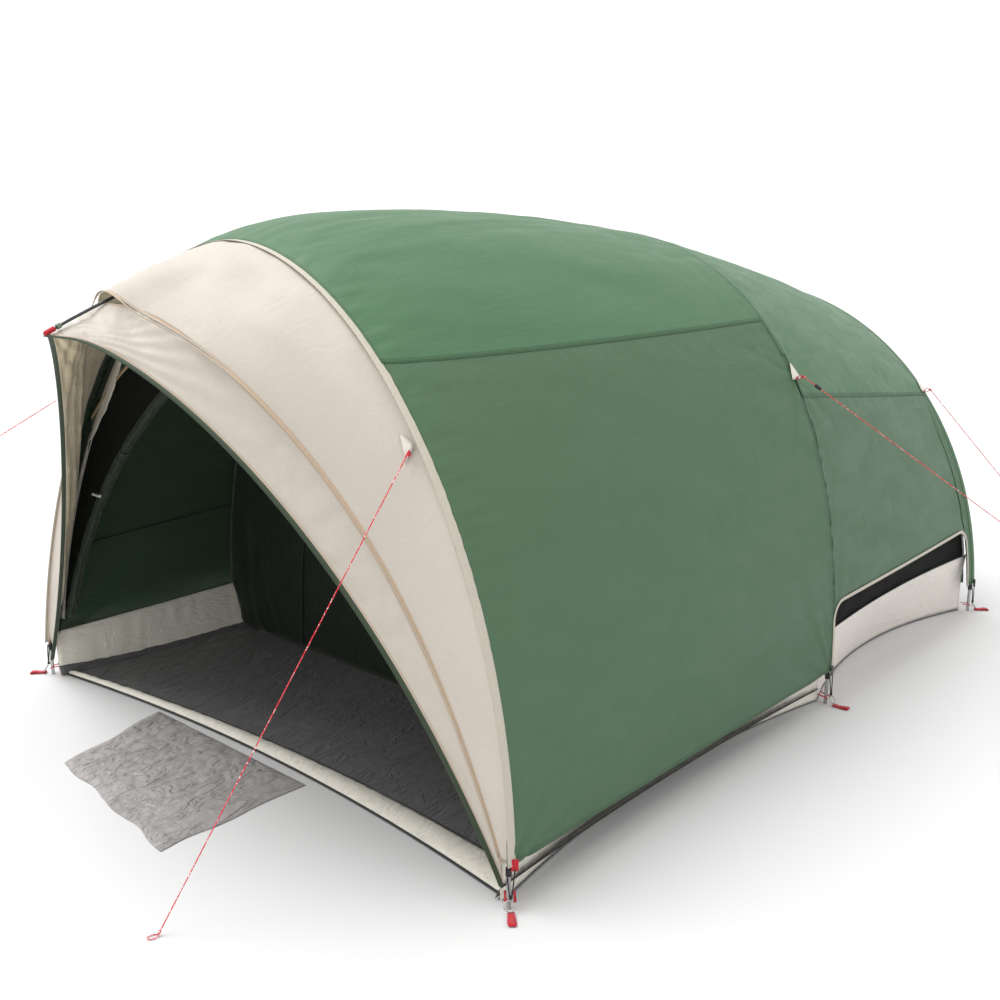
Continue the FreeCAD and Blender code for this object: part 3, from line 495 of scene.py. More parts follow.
def cloth_mesh(name, points, across, along):
    """A mesh of squares with two UV maps: metres from the first edges, and from the far edges."""
    tall, wide = len(across), len(across[0])
    faces = []
    spots = []
    for r in range(tall - 1):
        for c in range(wide - 1):
            corner = ((r, c), (r + 1, c), (r + 1, c + 1), (r, c + 1))
            faces.append([row * wide + column for row, column in corner])
            spots += corner
    mesh = bpy.data.meshes.new(name)
    mesh.from_pydata(points, [], faces)
    near = mesh.uv_layers.new(name="Cloth")
    far = mesh.uv_layers.new(name="FarEdge")
    for index, (r, c) in enumerate(spots):
        near.data[index].uv = (across[r][c], along[r][c])
        far.data[index].uv = (across[r][-1] - across[r][c], along[-1][c] - along[r][c])
    for polygon in mesh.polygons:
        polygon.use_smooth = True
    return mesh


def sheet_piece(name, rows, materials, relief=None, thickness=CLOTH, nodes=()):
    """A sheet of cloth through rows of points. A second material is its inside."""
    across, along = cloth_lengths(rows)
    points = raised(rows, relief, across, along) if relief else [point for row in rows for point in row]
    mesh = cloth_mesh(name, points, across, along)
    for material in materials:
        mesh.materials.append(material)
    piece = bpy.data.objects.new(name, mesh)
    bpy.context.collection.objects.link(piece)
    if thickness:
        solid = piece.modifiers.new("thickness", "SOLIDIFY")
        solid.thickness = thickness
        solid.offset = -1.0
        if len(materials) > 1:
            solid.material_offset = 1
    return finish_piece(piece, nodes)


def tube_piece(name, lines, radius, material, nodes=()):
    """Round cords along one or more smooth lines."""
    data = bpy.data.curves.new(name, "CURVE")
    data.dimensions = "3D"
    data.bevel_depth = radius
    data.bevel_resolution = 3
    data.use_fill_caps = True
    for points in lines:
        line = data.splines.new("NURBS")
        line.points.add(len(points) - 1)
        for spot, point in zip(line.points, points):
            spot.co = (*point, 1.0)
        line.order_u = 3
        line.use_endpoint_u = True
    data.materials.append(material)
    piece = bpy.data.objects.new(name, data)
    bpy.context.collection.objects.link(piece)
    return finish_piece(piece, nodes)


# ---------------------------------------------------------------- guy lines

SEWN_AT = 0.014                  # pole centre line to the outside of the cloth and its patch


def porch_arch(share):
    return arch_between(BAND, FRONT, share, 0.008)


def skin_frame(run, share, z, side=1):
    """A spot on the skin, with the ways up, along and out of the cloth."""
    step = 0.02
    turn = run(share).turn_at(z)
    spot = run(share).point(turn, SEWN_AT)
    up = (run(share).point(turn + step, SEWN_AT) - spot).normalized()
    along = (run(share + step).point(turn, SEWN_AT) - spot).normalized()
    outward = along.cross(up).normalized()
    return [on_side(way, side) for way in (spot, up, along, outward)]


def tie_point(run, share, z, side=1):
    """Where a guy line starts, in the loop that is sewn to the skin."""
    spot, _, _, outward = skin_frame(run, share, z, side)
    return spot + outward * 0.026


# name, the panel it is sewn to, how far along the panel, and how high
GUY_OUTS = (("front", porch_arch, 0.85, 1.076), ("mid", roof_arch, 1.0, 1.085),
            ("rear", tail_arch, 1.0, 0.87))
FRONT_TIE, MID_TIE, REAR_TIE = [tie_point(run, share, z) for _, run, share, z in GUY_OUTS]
LEFT_TIE = on_side(FRONT_TIE, -1)
GUY_LINES = (
    ("front_right", FRONT_TIE, Vector((0.552, FRONT_Y - 0.64, 0.006))),
    ("mid_right", MID_TIE, Vector((1.75, FRONT_Y + 3.05, 0.006))),
    ("rear_right", REAR_TIE, Vector((1.55, FRONT_Y + 3.2, 0.006))),
    ("front_left", LEFT_TIE, LEFT_TIE + Vector((-1.295, -1.227, -1.076)) * 0.26),
)


def wound(at, heading, radius, turns, pitch, steps=10):
    """Points of a cord wound round a line, for a knot."""
    heading = heading.normalized()
    side = heading.orthogonal().normalized()
    third = heading.cross(side)
    points = []
    for step in range(turns * steps + 1):
        angle = 2 * math.pi * step / steps
        away = side * math.cos(angle) + third * math.sin(angle)
        points.append(at + heading * (pitch * step / steps) + away * radius)
    return points


KNOT_PITCH = 0.0026
TIGHT = GUY / 2 * 0.85           # radius of the cord where a knot squeezes it
LOOP_RADIUS, LOOP_HALF = 0.0145, 0.009


def end_loop(end, heading, on_ground):
    """The loop at a line's far end, where a peg would hold it."""
    away = Vector((heading.x, heading.y, 0.0)).normalized() if on_ground else heading
    across = away.cross(Z).normalized()
    loop = []
    for step in range(9):
        angle = 2 * math.pi * step / 8
        out = away * (LOOP_RADIUS - LOOP_RADIUS * math.cos(angle))
        loop.append(end + out + across * LOOP_HALF * math.sin(angle))
    if on_ground:
        loop = [Vector((point.x, point.y, 0.0028)) for point in loop]
    return loop


def make_guys():
    for name, start, end in GUY_LINES:
        heading = (end - start).normalized()
        line = tube_piece("guy_line_" + name, [[start, start.lerp(end, 0.5), end]], GUY / 2, CORD,
                          ("guy_" + name,))
        knot = wound(end - heading * 0.008, heading, 0.0022, 3, KNOT_PITCH)
        knot = [Vector((point.x, point.y, max(point.z, 0.0016))) for point in knot]
        loop = end_loop(end, heading, end.z < 0.05)
        ends = tube_piece("guy_loop_" + name, [knot, loop], TIGHT, CORD, ("guy_end_" + name,))
        turns = wound(start + heading * 0.002, heading, 0.0024, 4, KNOT_PITCH)
        hitch = tube_piece("guy_hitch_" + name, [turns], TIGHT, CORD)


make_guys()


# ---------------------------------------------------------------- folds in the cloth

def waves(point, heading, length, width, seed=0.0):
    """Soft folds that run along a heading: noise stretched that way."""
    heading = heading.normalized()
    side = heading.orthogonal().normalized()
    third = heading.cross(side)
    where = Vector((point.dot(heading) / length, point.dot(side) / width + seed, point.dot(third) / width))
    return noise.noise(where)


def pleats(point, centre, first_axis, second_axis, count, reach, seed=0.0):
    """Folds that fan out from a point where the cloth is gathered or pulled."""
    away = point - centre
    distance = away.length
    angle = math.atan2(away.dot(second_axis), away.dot(first_axis))
    drift = noise.noise(Vector((angle * 3.0, distance * 2.0, seed)))
    fan = math.sin(angle * count + 4.0 * drift)
    return fan * smooth(0.0, 0.06, distance) * math.exp(-distance / reach)


def creases(point, size, seed=0.0):
    """Sharp little folds, such as those of cloth that was packed away."""
    first = abs(noise.noise(point / size + Vector((seed, 0, 0))))
    second = abs(noise.noise(point / (size * 0.45) + Vector((0, seed, 7.0))))
    return 0.7 * smooth(0.0, 0.25, first) + 0.3 * smooth(0.0, 0.25, second) - 0.6


def side_of(point):
    return 1 if point.x >= 0 else -1


SLANT = Vector((0.2, 0.9, -0.35))


def hoop_ridge(point, y, height=0.003, width=0.012):
    """The cloth stands proud where a pole runs under it."""
    return height * math.exp(-((point.y - y) / width) ** 2)


def front_line(point):
    return FRONT_Y + LEAN * point.z


def fly_relief(point, edge):
    calm = smooth(0.0, 0.09, edge)
    out = 0.4 * hoop_ridge(point, front_line(point))
    out += 0.3 * hoop_ridge(point, MID_Y) + hoop_ridge(point, REAR_Y)
    out += 0.0075 * calm * waves(point, SLANT, 0.9, 0.34)
    out += 0.0034 * calm * waves(point, SLANT, 0.45, 0.10, 3.0)
    out += 0.0007 * calm * creases(point, 0.16, 1.0)
    crown = smooth(0.55, 0.15, abs(point.x)) if point.z > 1.1 else 0.0
    out += 0.0040 * crown * calm * waves(point, Y, 1.2, 0.035, 5.0)
    seam = mix(*ROOF_SEAM, (point.y - FRONT_Y) / (MID_Y - FRONT_Y)) if point.y < MID_Y else TAIL_SEAM[0]
    below = seam - point.z
    if 0 < below < 0.4:
        pull = smooth(0.0, 0.03, below) * math.exp(-below / 0.10)
        out += 0.0030 * pull * waves(point, Z, 0.5, 0.030, 13.0)
    near_hoop = math.exp(-abs(point.y - MID_Y) / 0.16) + math.exp(-abs(point.y - front_line(point)) / 0.12)
    out += 0.0044 * near_hoop * smooth(0.0, 0.03, edge) * waves(point, Y, 0.6, 0.028, 9.0)
    tie = Vector((side_of(point) * MID_TIE.x, MID_Y, MID_TIE.z))
    out += 0.0030 * pleats(point, tie, Y, Z, 9, 0.16, 2.0)
    foot = Vector((side_of(point) * HALF, point.y, 0.10))
    foot.y = FRONT_Y if point.y < MID_Y - 0.8 else MID_Y
    out += 0.0045 * pleats(point, foot, Y, Z, 11, 0.22, 4.0)
    return out


def crest_drop(point):
    """Beside the ridge pole the cloth falls away faster than the arch does, round the seam band."""
    across = abs(point.x)
    hump = smooth(0.0, 0.13, across) * smooth(0.42, 0.16, across)
    behind_edge = point.y - visor_depth(point.x, point.z)
    return -0.028 * hump * smooth(0.0, 0.12, behind_edge) * smooth(0.45, 0.20, behind_edge)


def band_relief(point, edge):
    return crest_drop(point)


def cream_relief(point, edge):
    calm = smooth(0.0, 0.03, edge)
    out = hoop_ridge(point, front_line(point), 0.001) + crest_drop(point)
    out += 0.0060 * calm * waves(point, Vector((side_of(point) * -0.5, -0.3, 0.8)), 0.6, 0.075, 1.0)
    out += 0.0006 * calm * creases(point, 0.16, 2.0)
    foot = Vector((side_of(point) * HALF, FRONT_Y, 0.08))
    out += 0.0050 * calm * pleats(point, foot, Y, Z, 13, 0.30, 1.0)
    return out


VISOR_TIP = Vector((0.0, FRONT_Y - VISOR_REACH, 1.36))


def visor_relief(point, edge):
    calm = smooth(0.0, 0.02, edge)
    fan = Vector((side_of(point) * 0.75, 0.35, -0.55)).normalized()
    out = crest_drop(point) + 0.0036 * calm * pleats(point, VISOR_TIP, fan, Y, 70, 0.50, 3.0)
    out += 0.0070 * calm * waves(point, Vector((side_of(point) * 0.62, 0.25, -0.74)), 0.5, 0.032, 6.0)
    across = Vector((side_of(point) * 0.2, 0.9, 0.3))
    middle = smooth(0.5, 0.75, point.z) * smooth(1.25, 1.05, point.z)
    out += 0.0030 * calm * middle * waves(point, across, 0.22, 0.035, 8.0)
    out += 0.0022 * calm * (0.3 + middle) * creases(point, 0.10, 4.0)
    return out


# ---------------------------------------------------------------- the fly

def panel(name, run, low, high, size, materials, relief, nodes, side=1, lift=SKIN, reach=(0.0, 1.0),
          thickness=CLOTH):
    """A panel of the fly: arches in a run, each from its low turn to its high one."""
    columns, count = size
    rows = []
    for step in range(count + 1):
        share = mix(reach[0], reach[1], step / count)
        arch = run(share)
        row = arch.even(low(share, arch), high(share, arch), columns, lift)
        rows.append(row if side > 0 else mirrored(row))
    piece = sheet_piece(name, rows, materials, relief, thickness, nodes)
    return piece


def from_height(height):
    return lambda share, arch: arch.turn_at(height)


def other_end(low):
    """The same height on the arch's left leg."""
    return lambda share, arch: math.pi - low(share, arch)


def along_seam(seam, lap=0.0):
    """Just under a seam whose height runs from seam[0] to seam[1]."""
    return lambda share, arch: arch.turn_at(mix(*seam, share) - lap)


def visor_run(share):
    return arch_between(VISOR, BAND_UNDER, share)


def visor_low(share, arch):
    return arch.turn_at(0.06 + 0.04 * share)


POLE_ROOM = 0.014                # the cream cloth passes this far in front of the pole, low on its legs


def porch_run(share):
    """Low on the legs the porch cloth faces forward, so it has to clear the pole behind it."""
    arch = porch_arch(share)

    def depth(x, z):
        return arch.depth(x, z) - POLE_ROOM * share ** 3 * smooth(1.15, 0.85, z)

    return Arch(arch.height, arch.fullness, depth, arch.rise, arch.dip)


LAP = 0.008                      # the roof reaches this far down over the side
ROOF_REACH = (-0.004, 0.999)


def make_fly():
    panel("visor_cloth", visor_run, visor_low, other_end(visor_low), (260, 44), [CREAM, CREAM_INSIDE_LIT],
          visor_relief, ("visor",))
    panel("porch_cloth", porch_run, from_height(HEM), other_end(from_height(HEM)), (230, 56),
          [CREAM, CREAM_INSIDE_LIT], cream_relief, ("porch_panel",), lift=SKIN + 0.001)
    roof_low, tail_low = along_seam(ROOF_SEAM, LAP), along_seam(TAIL_SEAM, LAP)
    panel("roof_cloth", roof_arch, roof_low, other_end(roof_low), (120, 150), [FLY_ROOF_LIT, FLY_INSIDE],
          fly_relief, ("fly_roof",), lift=SKIN + 0.0016, reach=ROOF_REACH)
    panel("tail_cloth", tail_arch, tail_low, other_end(tail_low), (130, 110), [FLY_ROOF_LIT, FLY_INSIDE],
          fly_relief, ("tail_roof",), lift=SKIN + 0.0016)
    for side, name in SIDES:
        panel("side_cloth_" + name, roof_arch, from_height(HEM), along_seam(ROOF_SEAM), (120, 150),
              [FLY_SIDE_SHADED, FLY_INSIDE], fly_relief, ("fly_side_" + name,), side, reach=ROOF_REACH)
        make_tail_side(name, side, along_seam(TAIL_SEAM))


VENT_START, VENT_END = 0.014, 1.168          # behind the middle feet
VENT_TOP, VENT_CORNER = 0.35, 0.06
TAIL_RUN = REAR_Y - MID_Y
STEP_OFF = 0.0001                # keeps two rows of the cloth apart where its edge steps up


def quarter(count):
    """Even steps round a quarter circle: how far in from each side of its square corner."""
    angles = [math.pi / 2 * step / count for step in range(count + 1)]
    return [(VENT_CORNER * (1 - math.cos(angle)), VENT_CORNER * (1 - math.sin(angle))) for angle in angles]


def vent_middle(count):
    """Places along the straight part of the vent's top."""
    return [mix(VENT_START + VENT_CORNER, VENT_END - VENT_CORNER, step / count) for step in range(1, count)]


def vent_edge(y):
    """Height of the fly's lower edge at this distance behind the middle feet."""
    if y < VENT_START or y > VENT_END:
        return HEM
    inside = min(y - VENT_START, VENT_END - y)
    if inside >= VENT_CORNER:
        return VENT_TOP
    return VENT_TOP - VENT_CORNER + math.sqrt(VENT_CORNER ** 2 - (VENT_CORNER - inside) ** 2)


def make_tail_side(name, side, high):
    """The tail's side, cut out over the vent."""
    places = [0.0, VENT_START - STEP_OFF]
    places += [VENT_START + ahead + STEP_OFF for ahead, _ in quarter(8)]
    places += vent_middle(90)
    places += [VENT_END - back - STEP_OFF for _, back in quarter(8)]
    places += [VENT_END + STEP_OFF, mix(VENT_END, TAIL_RUN, 0.5), TAIL_RUN]
    rows = []
    for place in places:
        share = place / TAIL_RUN
        arch = tail_arch(share)
        row = arch.even(arch.turn_at(vent_edge(place)), high(share, arch), 80)
        rows.append(row if side > 0 else mirrored(row))
    piece = sheet_piece("tail_side_cloth_" + name, rows, [FLY_SIDE_SHADED, FLY_INSIDE], fly_relief,
                        nodes=("tail_side_" + name,))


make_fly()


# ---------------------------------------------------------------- tapes, piping and sleeves


def heading_at(line, index):
    return line[min(index + 1, len(line) - 1)] - line[max(index - 1, 0)]


def ribbon(name, line, across, half_width, material, crown=0.0008, nodes=(), thickness=0.0010):
    """A flat tape along a line of points; across(point, heading) gives its width's way."""
    rows = []
    steps = (-1.0, -0.6, 0.0, 0.6, 1.0)
    for index, point in enumerate(line):
        heading = heading_at(line, index).normalized()
        way = across(point, heading).normalized()
        up = heading.cross(way).normalized()
        rows.append([point + way * (half_width * step) + up * (crown * (1 - step * step)) for step in steps])
    piece = sheet_piece(name, rows, [material], None, thickness, nodes)
    return piece


def along_arch(arch, low, lift, count=160):
    turn = arch.turn_at(low)
    return arch.even(turn, math.pi - turn, count, lift)


def make_visor_binding():
    """Tape folded over the visor's edge: an outer face, a rolled edge and an inner face."""
    rows = []
    for reach, lift in ((0.0, 0.0118), (-0.007, 0.0124), (-0.0135, 0.0118), (-0.0145, 0.0100),
                        (-0.0135, 0.0084), (-0.007, 0.0080), (0.0, 0.0084)):
        rows.append(along_arch(moved(VISOR, reach), 0.06, lift, 200))
    piece = sheet_piece("visor_edge_tape", rows, [BINDING], None, 0.0, ("visor_binding",))


def stitched_tape(name, arch, low, half_width, lift, material, nodes=(), bulge=0.001, relief=None):
    rows = []
    for step in (-1.0, -0.7, -0.35, 0.0, 0.35, 0.7, 1.0):
        rise = lift + bulge * (1 - step * step)
        rows.append(along_arch(moved(arch, step * half_width), low, rise, 200))
    piece = sheet_piece(name, rows, [material], relief, 0.0012, nodes)
    return piece


def make_bindings():
    make_visor_binding()
    band = fabric("band_cream", tone(206, 194, 176), 0.52, 0.05, 0.0006,
                  stitches=(tone(214, 184, 148), (0.0018, 0.0042)))
    stitched_tape("seam_band_tape", BAND, 0.13, 0.0055, 0.0140, band, ("seam_band",), 0.0006,
                  band_relief)
    stitched_tape("front_piping", moved(FRONT, -0.008), HEM, 0.0145, 0.0125, TAPE, bulge=0.0012)
    sleeve = fabric("sleeve_green", tone(78, 112, 81), 0.45, 0.06, 0.0005, 0.05,
                    stitches=(GREEN_THREAD, (0.003,)))
    stitched_tape("mid_sleeve", MID, 1.16, 0.014, 0.0114, sleeve, bulge=0.0016)
    stitched_tape("rear_sleeve", REAR, HEM + 0.004, 0.016, 0.0120, sleeve, bulge=0.0030)


def vent_outline(side):
    """Points of the vent's edge on the skin, from its front foot over the top to its rear foot."""
    places = [(VENT_START, HEM), (VENT_START, 0.18), (VENT_START, 0.235)]
    places += [(VENT_START + ahead, VENT_TOP - down) for ahead, down in quarter(6)]
    places += [(place, VENT_TOP) for place in vent_middle(24)]
    places += [(VENT_END - back, VENT_TOP - down) for down, back in quarter(6)]
    places += [(VENT_END, 0.235), (VENT_END, 0.18), (VENT_END, HEM)]
    points = []
    for place, z in places:
        arch = tail_arch(place / TAIL_RUN)
        points.append(on_side(arch.point(arch.turn_at(z), 0.0122), side))
    return points


def make_vent_edges():
    for side, name in SIDES:
        middle = Vector((side * HALF, MID_Y + (VENT_START + VENT_END) / 2, 0.12))

        def outwards(point, heading, middle=middle):
            away = point - middle
            away.x = 0.0
            flat = Vector((0.0, heading.z, -heading.y))
            return flat if flat.dot(away) > 0 else -flat

        line = facing(vent_outline(side), side)
        shifted = [point + outwards(point, heading_at(line, index)).normalized() * 0.005
                   for index, point in enumerate(line)]
        ribbon("vent_edge_" + name, shifted, outwards, 0.0062, TAPE, 0.0010,
               stands_for("vent_piping", side > 0))


make_bindings()
make_vent_edges()


# ---------------------------------------------------------------- rear end

def hood_run(share):
    return arch_between(REAR, HOOD, share, 0.010)


def rear_relief(point, edge):
    calm = smooth(0.0, 0.05, edge)
    out = 0.0040 * calm * waves(point, Z, 0.5, 0.12, 3.0) + 0.0015 * calm * creases(point, 0.14, 5.0)
    for side in (1, -1):
        foot = Vector((side * 1.05, REAR_Y - 0.011, 0.1))
        out += 0.0040 * pleats(point, foot, Vector((-side, 0, 0)), Z, 12, 0.35, 2.0)
    return out


def inside_arch(arch, lift, low, y_of, columns=90, rows=70, low_half=None):
    """Rows of points of a flat wall inside an arch, from its foot up to its crown."""
    found = []
    for step in range(rows + 1):
        share = step / rows
        z = mix(low, arch.height + lift - 0.001, 1 - (1 - share) ** 1.8)
        inner = Arch(arch.height + lift, arch.fullness, arch.depth, arch.rise)
        turn = inner.turn_at(z)
        half = (HALF + lift) * abs(math.cos(turn)) ** (2.0 / arch.fullness)
        if low_half is not None and z < 0.2:
            half = min(half, low_half + 0.36 * z)
        found.append([Vector((mix(half, -half, column / columns), y_of(z), z))
                      for column in range(columns + 1)])
    return found


HOOD_LOW = 0.85


def hood_relief(point, edge):
    return 0.003 * smooth(0.0, 0.03, edge) * waves(point, Y, 0.3, 0.05, 2.0)


def make_rear():
    panel("hood_cloth", hood_run, from_height(HOOD_LOW), other_end(from_height(HOOD_LOW)), (120, 18),
          [CREAM, CREAM_INSIDE_LIT], hood_relief, ("rear_hood",),
          lift=SKIN + 0.002)
    edge_rows = [along_arch(moved(HOOD, reach), HOOD_LOW, lift, 120)
                 for reach, lift in ((0.001, 0.0125), (0.008, 0.0135), (0.012, 0.0115), (0.008, 0.0095))]
    edge = sheet_piece("hood_edge_tape", edge_rows, [BINDING], None, 0.0)
    rows = inside_arch(REAR, -0.024, 0.118, lambda z: REAR_Y - 0.011)
    wall = sheet_piece("rear_cloth", rows, [FLY_SIDE_SHADED, FLY_INSIDE], rear_relief, nodes=("rear_wall",))


make_rear()


# ---------------------------------------------------------------- front wall and doors

WALL_BACK = 0.014                # the front wall stands this far behind the front hoop
HEADER_LOW = 1.24
ZIP_ARC = (Vector((0.600, 0, 1.225)), Vector((0.870, 0, 0.800)), Vector((1.040, 0, 0.220)))
ROLL_ARC = (Vector((0.200, 0, 1.215)), Vector((0.700, 0, 0.785)), Vector((0.985, 0, 0.245)))
MESH_TOP = (Vector((0.560, 0, 1.175)), Vector((0.700, 0, 1.070)), Vector((0.806, 0, 0.965)))
ROLL_RADIUS = 0.015
TIE_SHARE = 0.42                 # place of the tie along the roll, from its top


def on_wall(x, z, out=0.0):
    """A point of the front wall; out is how far it stands in front of the wall."""
    return Vector((x, FRONT_Y + WALL_BACK + LEAN * z - out, z))


def circle_through(arc):
    """Centre and radius of the circle through three points of the XZ plane."""
    (ax, _, az), (bx, _, bz), (cx, _, cz) = arc
    spread = 2 * (ax * (bz - cz) + bx * (cz - az) + cx * (az - bz))
    a, b, c = ax * ax + az * az, bx * bx + bz * bz, cx * cx + cz * cz
    x = (a * (bz - cz) + b * (cz - az) + c * (az - bz)) / spread
    z = (a * (cx - bx) + b * (ax - cx) + c * (bx - ax)) / spread
    return Vector((x, 0, z)), math.hypot(ax - x, az - z)


def arc_point(arc, share, grow=0.0):
    """A point of the arc, from its top to its foot, moved away from the arc's centre."""
    centre, radius = circle_through(arc)
    angles = [math.atan2(p.z - centre.z, p.x - centre.x) for p in (arc[0], arc[2])]
    angle = mix(angles[0], angles[1], share)
    return centre + Vector((math.cos(angle), 0, math.sin(angle))) * (radius + grow)


def wall_strip(name, near, far, side, materials, relief, nodes, size, out=0.0, thickness=CLOTH):
    """Cloth on the front wall between two lines. Near and far give x and z at a share of the way
    down, and size counts its faces across and down."""
    rows = []
    for step in range(size[1] + 1):
        share = step / size[1]
        start, end = near(share), far(share)
        row = []
        for column in range(size[0] + 1):
            flat = start.lerp(end, column / size[0])
            row.append(on_wall(side * flat.x, flat.z, out))
        rows.append(facing(row, side))
    piece = sheet_piece(name, rows, materials, relief, thickness, nodes)


def hoop_edge(share, low=0.10, high=1.23):
    """A point of the front hoop's inside, from near its shoulder down to its foot."""
    z = mix(high, low, share)
    inner = Arch(FRONT.height - 0.008, FRONT.fullness, FRONT.depth)
    turn = inner.turn_at(z)
    return Vector(((HALF - 0.008) * math.cos(turn) ** (2 / FRONT.fullness), 0, z))


def wall_relief(point, edge):
    calm = smooth(0.0, 0.02, edge)
    return 0.003 * calm * waves(point, Z, 0.3, 0.03, 2.0) + 0.0012 * calm * creases(point, 0.06, 3.0)


def slack_relief(point, edge):
    calm = smooth(0.0, 0.02, edge)
    return 0.006 * calm * waves(point, Vector((side_of(point) * 0.6, 0, -0.8)), 0.4, 0.09, 4.0)


def torn_line(share):
    """The lower edge of the cream strip beside the zip."""
    wobble = 0.010 * noise.noise(Vector((share * 9.0, 0.4, 1.0)))
    return arc_point(ZIP_ARC, share * 0.36, -0.006 - (0.030 + wobble) * math.sin(math.pi * share) ** 0.7)


def zip_line(from_side):
    """A line beside the zip's arc, this far from it, away from the doorway."""
    return lambda share: arc_point(ZIP_ARC, share, from_side)


def top_line(from_edge):
    """A line beside the net's top edge."""
    return lambda share: arc_point(MESH_TOP, share, from_edge)


def make_front_wall():
    for side, name in SIDES:
        right = side > 0
        wall_strip("hoop_strip_" + name, zip_line(0.006), hoop_edge, side, [CABIN], wall_relief,
                   stands_for("front_frame", right), (8, 100))
        wall_strip("zip_tape_" + name, zip_line(-0.011), zip_line(0.011), side, [ZIP_TAPE], None,
                   stands_for("door_zips", right), (4, 110), 0.0012, 0.0008)
        arc = [arc_point(ZIP_ARC, step / 30) for step in range(31)]
        coil = [on_wall(side * point.x, point.z, 0.0026) for point in arc]
        tube_piece("zip_coil_" + name, [coil], 0.0022, ZIP_TEETH)
        wall_strip("door_net_" + name, lambda share: arc_point(ROLL_ARC, share, 0.009), net_edge, side, [NET],
                   slack_relief, stands_for("door_mesh", right), (26, 90), 0.0, 0.0)
        wall_strip("door_top_" + name, top_line(0.0), lambda share: arc_point(ZIP_ARC, share * 0.40, -0.008),
                   side, [OLIVE], wall_relief, (), (8, 50), 0.002, CLOTH)
        wall_strip("door_top_edge_" + name, top_line(-0.004), top_line(0.006), side, [TAN_TAPE], None, (),
                   (3, 60), 0.0045, 0.001)
        wall_strip("zip_flap_" + name, torn_line, lambda share: arc_point(ZIP_ARC, share * 0.36, -0.004),
                   side, [CREAM_WALL], wall_relief, (), (6, 60), 0.0045, 0.001)
    rows = inside_arch(FRONT, -0.012, HEADER_LOW - 0.004, lambda z: FRONT_Y + WALL_BACK + LEAN * z, 80, 24)
    header = sheet_piece("header_cloth", rows, [CABIN], wall_relief)


def net_edge(share):
    """The net's outer edge: along the top of its own cloth, then down the zip."""
    if share < 0.36:
        return arc_point(MESH_TOP, share / 0.36, 0.002)
    return arc_point(ZIP_ARC, mix(0.345, 1.0, (share - 0.36) / 0.64), -0.008)


def make_zip_teeth():
    surface = Surface("zip_teeth", tone(236, 234, 228), 0.4, specular=0.5)
    teeth = surface.stripes(surface.place(), 0.0016, "Z")
    surface.bump(teeth, 0.0006)
    # Painted shade: the zip is darkened in the gaps between its teeth.
    surface.shade(surface.maths("SUBTRACT", 1.0, teeth), 0.35)
    return surface.material


ZIP_TEETH = make_zip_teeth()
OLIVE = fabric("door_olive", tone(62, 84, 54), 0.55, 0.15, 0.0014)
TAN_TAPE = webbing("tape_tan", tone(214, 186, 142), 0.3)

make_front_wall()


def roll_frame(side, share, ahead):
    """The roll's centre, its heading and two ways across it. Ahead is a step along its line."""
    spot = arc_point(ROLL_ARC, share)
    heading = Vector((side * ahead.x, LEAN * ahead.z, ahead.z)).normalized()
    first = heading.cross(Y).normalized()
    return on_wall(side * spot.x, spot.z), heading, first, heading.cross(first)


def roll_step(before, after):
    return arc_point(ROLL_ARC, after) - arc_point(ROLL_ARC, before)


def roll_row(side, share):
    """One ring of the roll: lumpy cloth, tight at the tie and frayed at the foot."""
    ahead = roll_step(max(0.0, share - 0.01), min(1.0, share + 0.01))
    centre, _, first, second = roll_frame(side, share, ahead)
    tied = math.exp(-((share - TIE_SHARE) / 0.022) ** 2)
    frayed = smooth(0.80, 1.0, share)
    row = []
    for spoke in range(29):
        angle = 2 * math.pi * spoke / 28
        around = Vector((math.cos(angle), math.sin(angle), share * 14 + side))
        fold = 0.0024 * noise.noise(around * 1.3) + 0.0018 * noise.noise(around * 3.1)
        lip = 0.0024 * smooth(0.0, 0.15, spoke / 28) - 0.0012
        radius = (ROLL_RADIUS - 0.002) * (1 - 0.16 * tied) + fold + lip
        radius += frayed * 0.005 * noise.noise(Vector((angle * 2.0, share * 60, side)))
        row.append(centre + first * (radius * math.cos(angle)) + second * (radius * math.sin(angle)))
    return row


def tie_rows(side):
    """The elastic that holds the roll up."""
    ahead = roll_step(TIE_SHARE - 0.01, TIE_SHARE + 0.01)
    centre, heading, first, second = roll_frame(side, TIE_SHARE, ahead)
    rows = []
    for step in range(41):
        angle = 2 * math.pi * step / 40
        away = first * math.cos(angle) + second * math.sin(angle)
        edge = centre + away * (ROLL_RADIUS + 0.001)
        rows.append([edge + heading * shift for shift in (-0.005, -0.002, 0.002, 0.005)])
    return rows


def make_rolls():
    """Each door's cloth, rolled up loosely and held by its tie."""
    for side, name in SIDES:
        rows = [roll_row(side, step / 160) for step in range(161)]
        piece = sheet_piece("door_roll_" + name, rows, [ROLL_CLOTH], None, 0.002,
                            stands_for("door_rolls", side > 0))
        band = sheet_piece("door_tie_" + name, tie_rows(side), [ELASTIC], None, 0.0012,
                           stands_for("door_ties", side > 0))


make_rolls()


# ---------------------------------------------------------------- floor, walls and doormat

FLOOR_FRONT = FRONT_Y + 0.020
FLOOR_REAR = REAR_Y - 0.020
FLOOR_TOP = 0.0035
SIDE_BOW, VENT_BOW = 0.085, 0.115        # how far the floor's edge curves in, along porch and vent


def bow(share, depth):
    return depth * 4 * share * (1 - share)


def floor_half(y):
    """Half the floor's width: its edges curve in between the feet."""
    if y < MID_Y:
        return FLOOR_HALF - bow(min(1.0, max(0.0, (y - FLOOR_FRONT) / (MID_Y - FLOOR_FRONT))), SIDE_BOW)
    return FLOOR_HALF - bow(min(1.0, (y - MID_Y) / (FLOOR_REAR - MID_Y)), VENT_BOW)


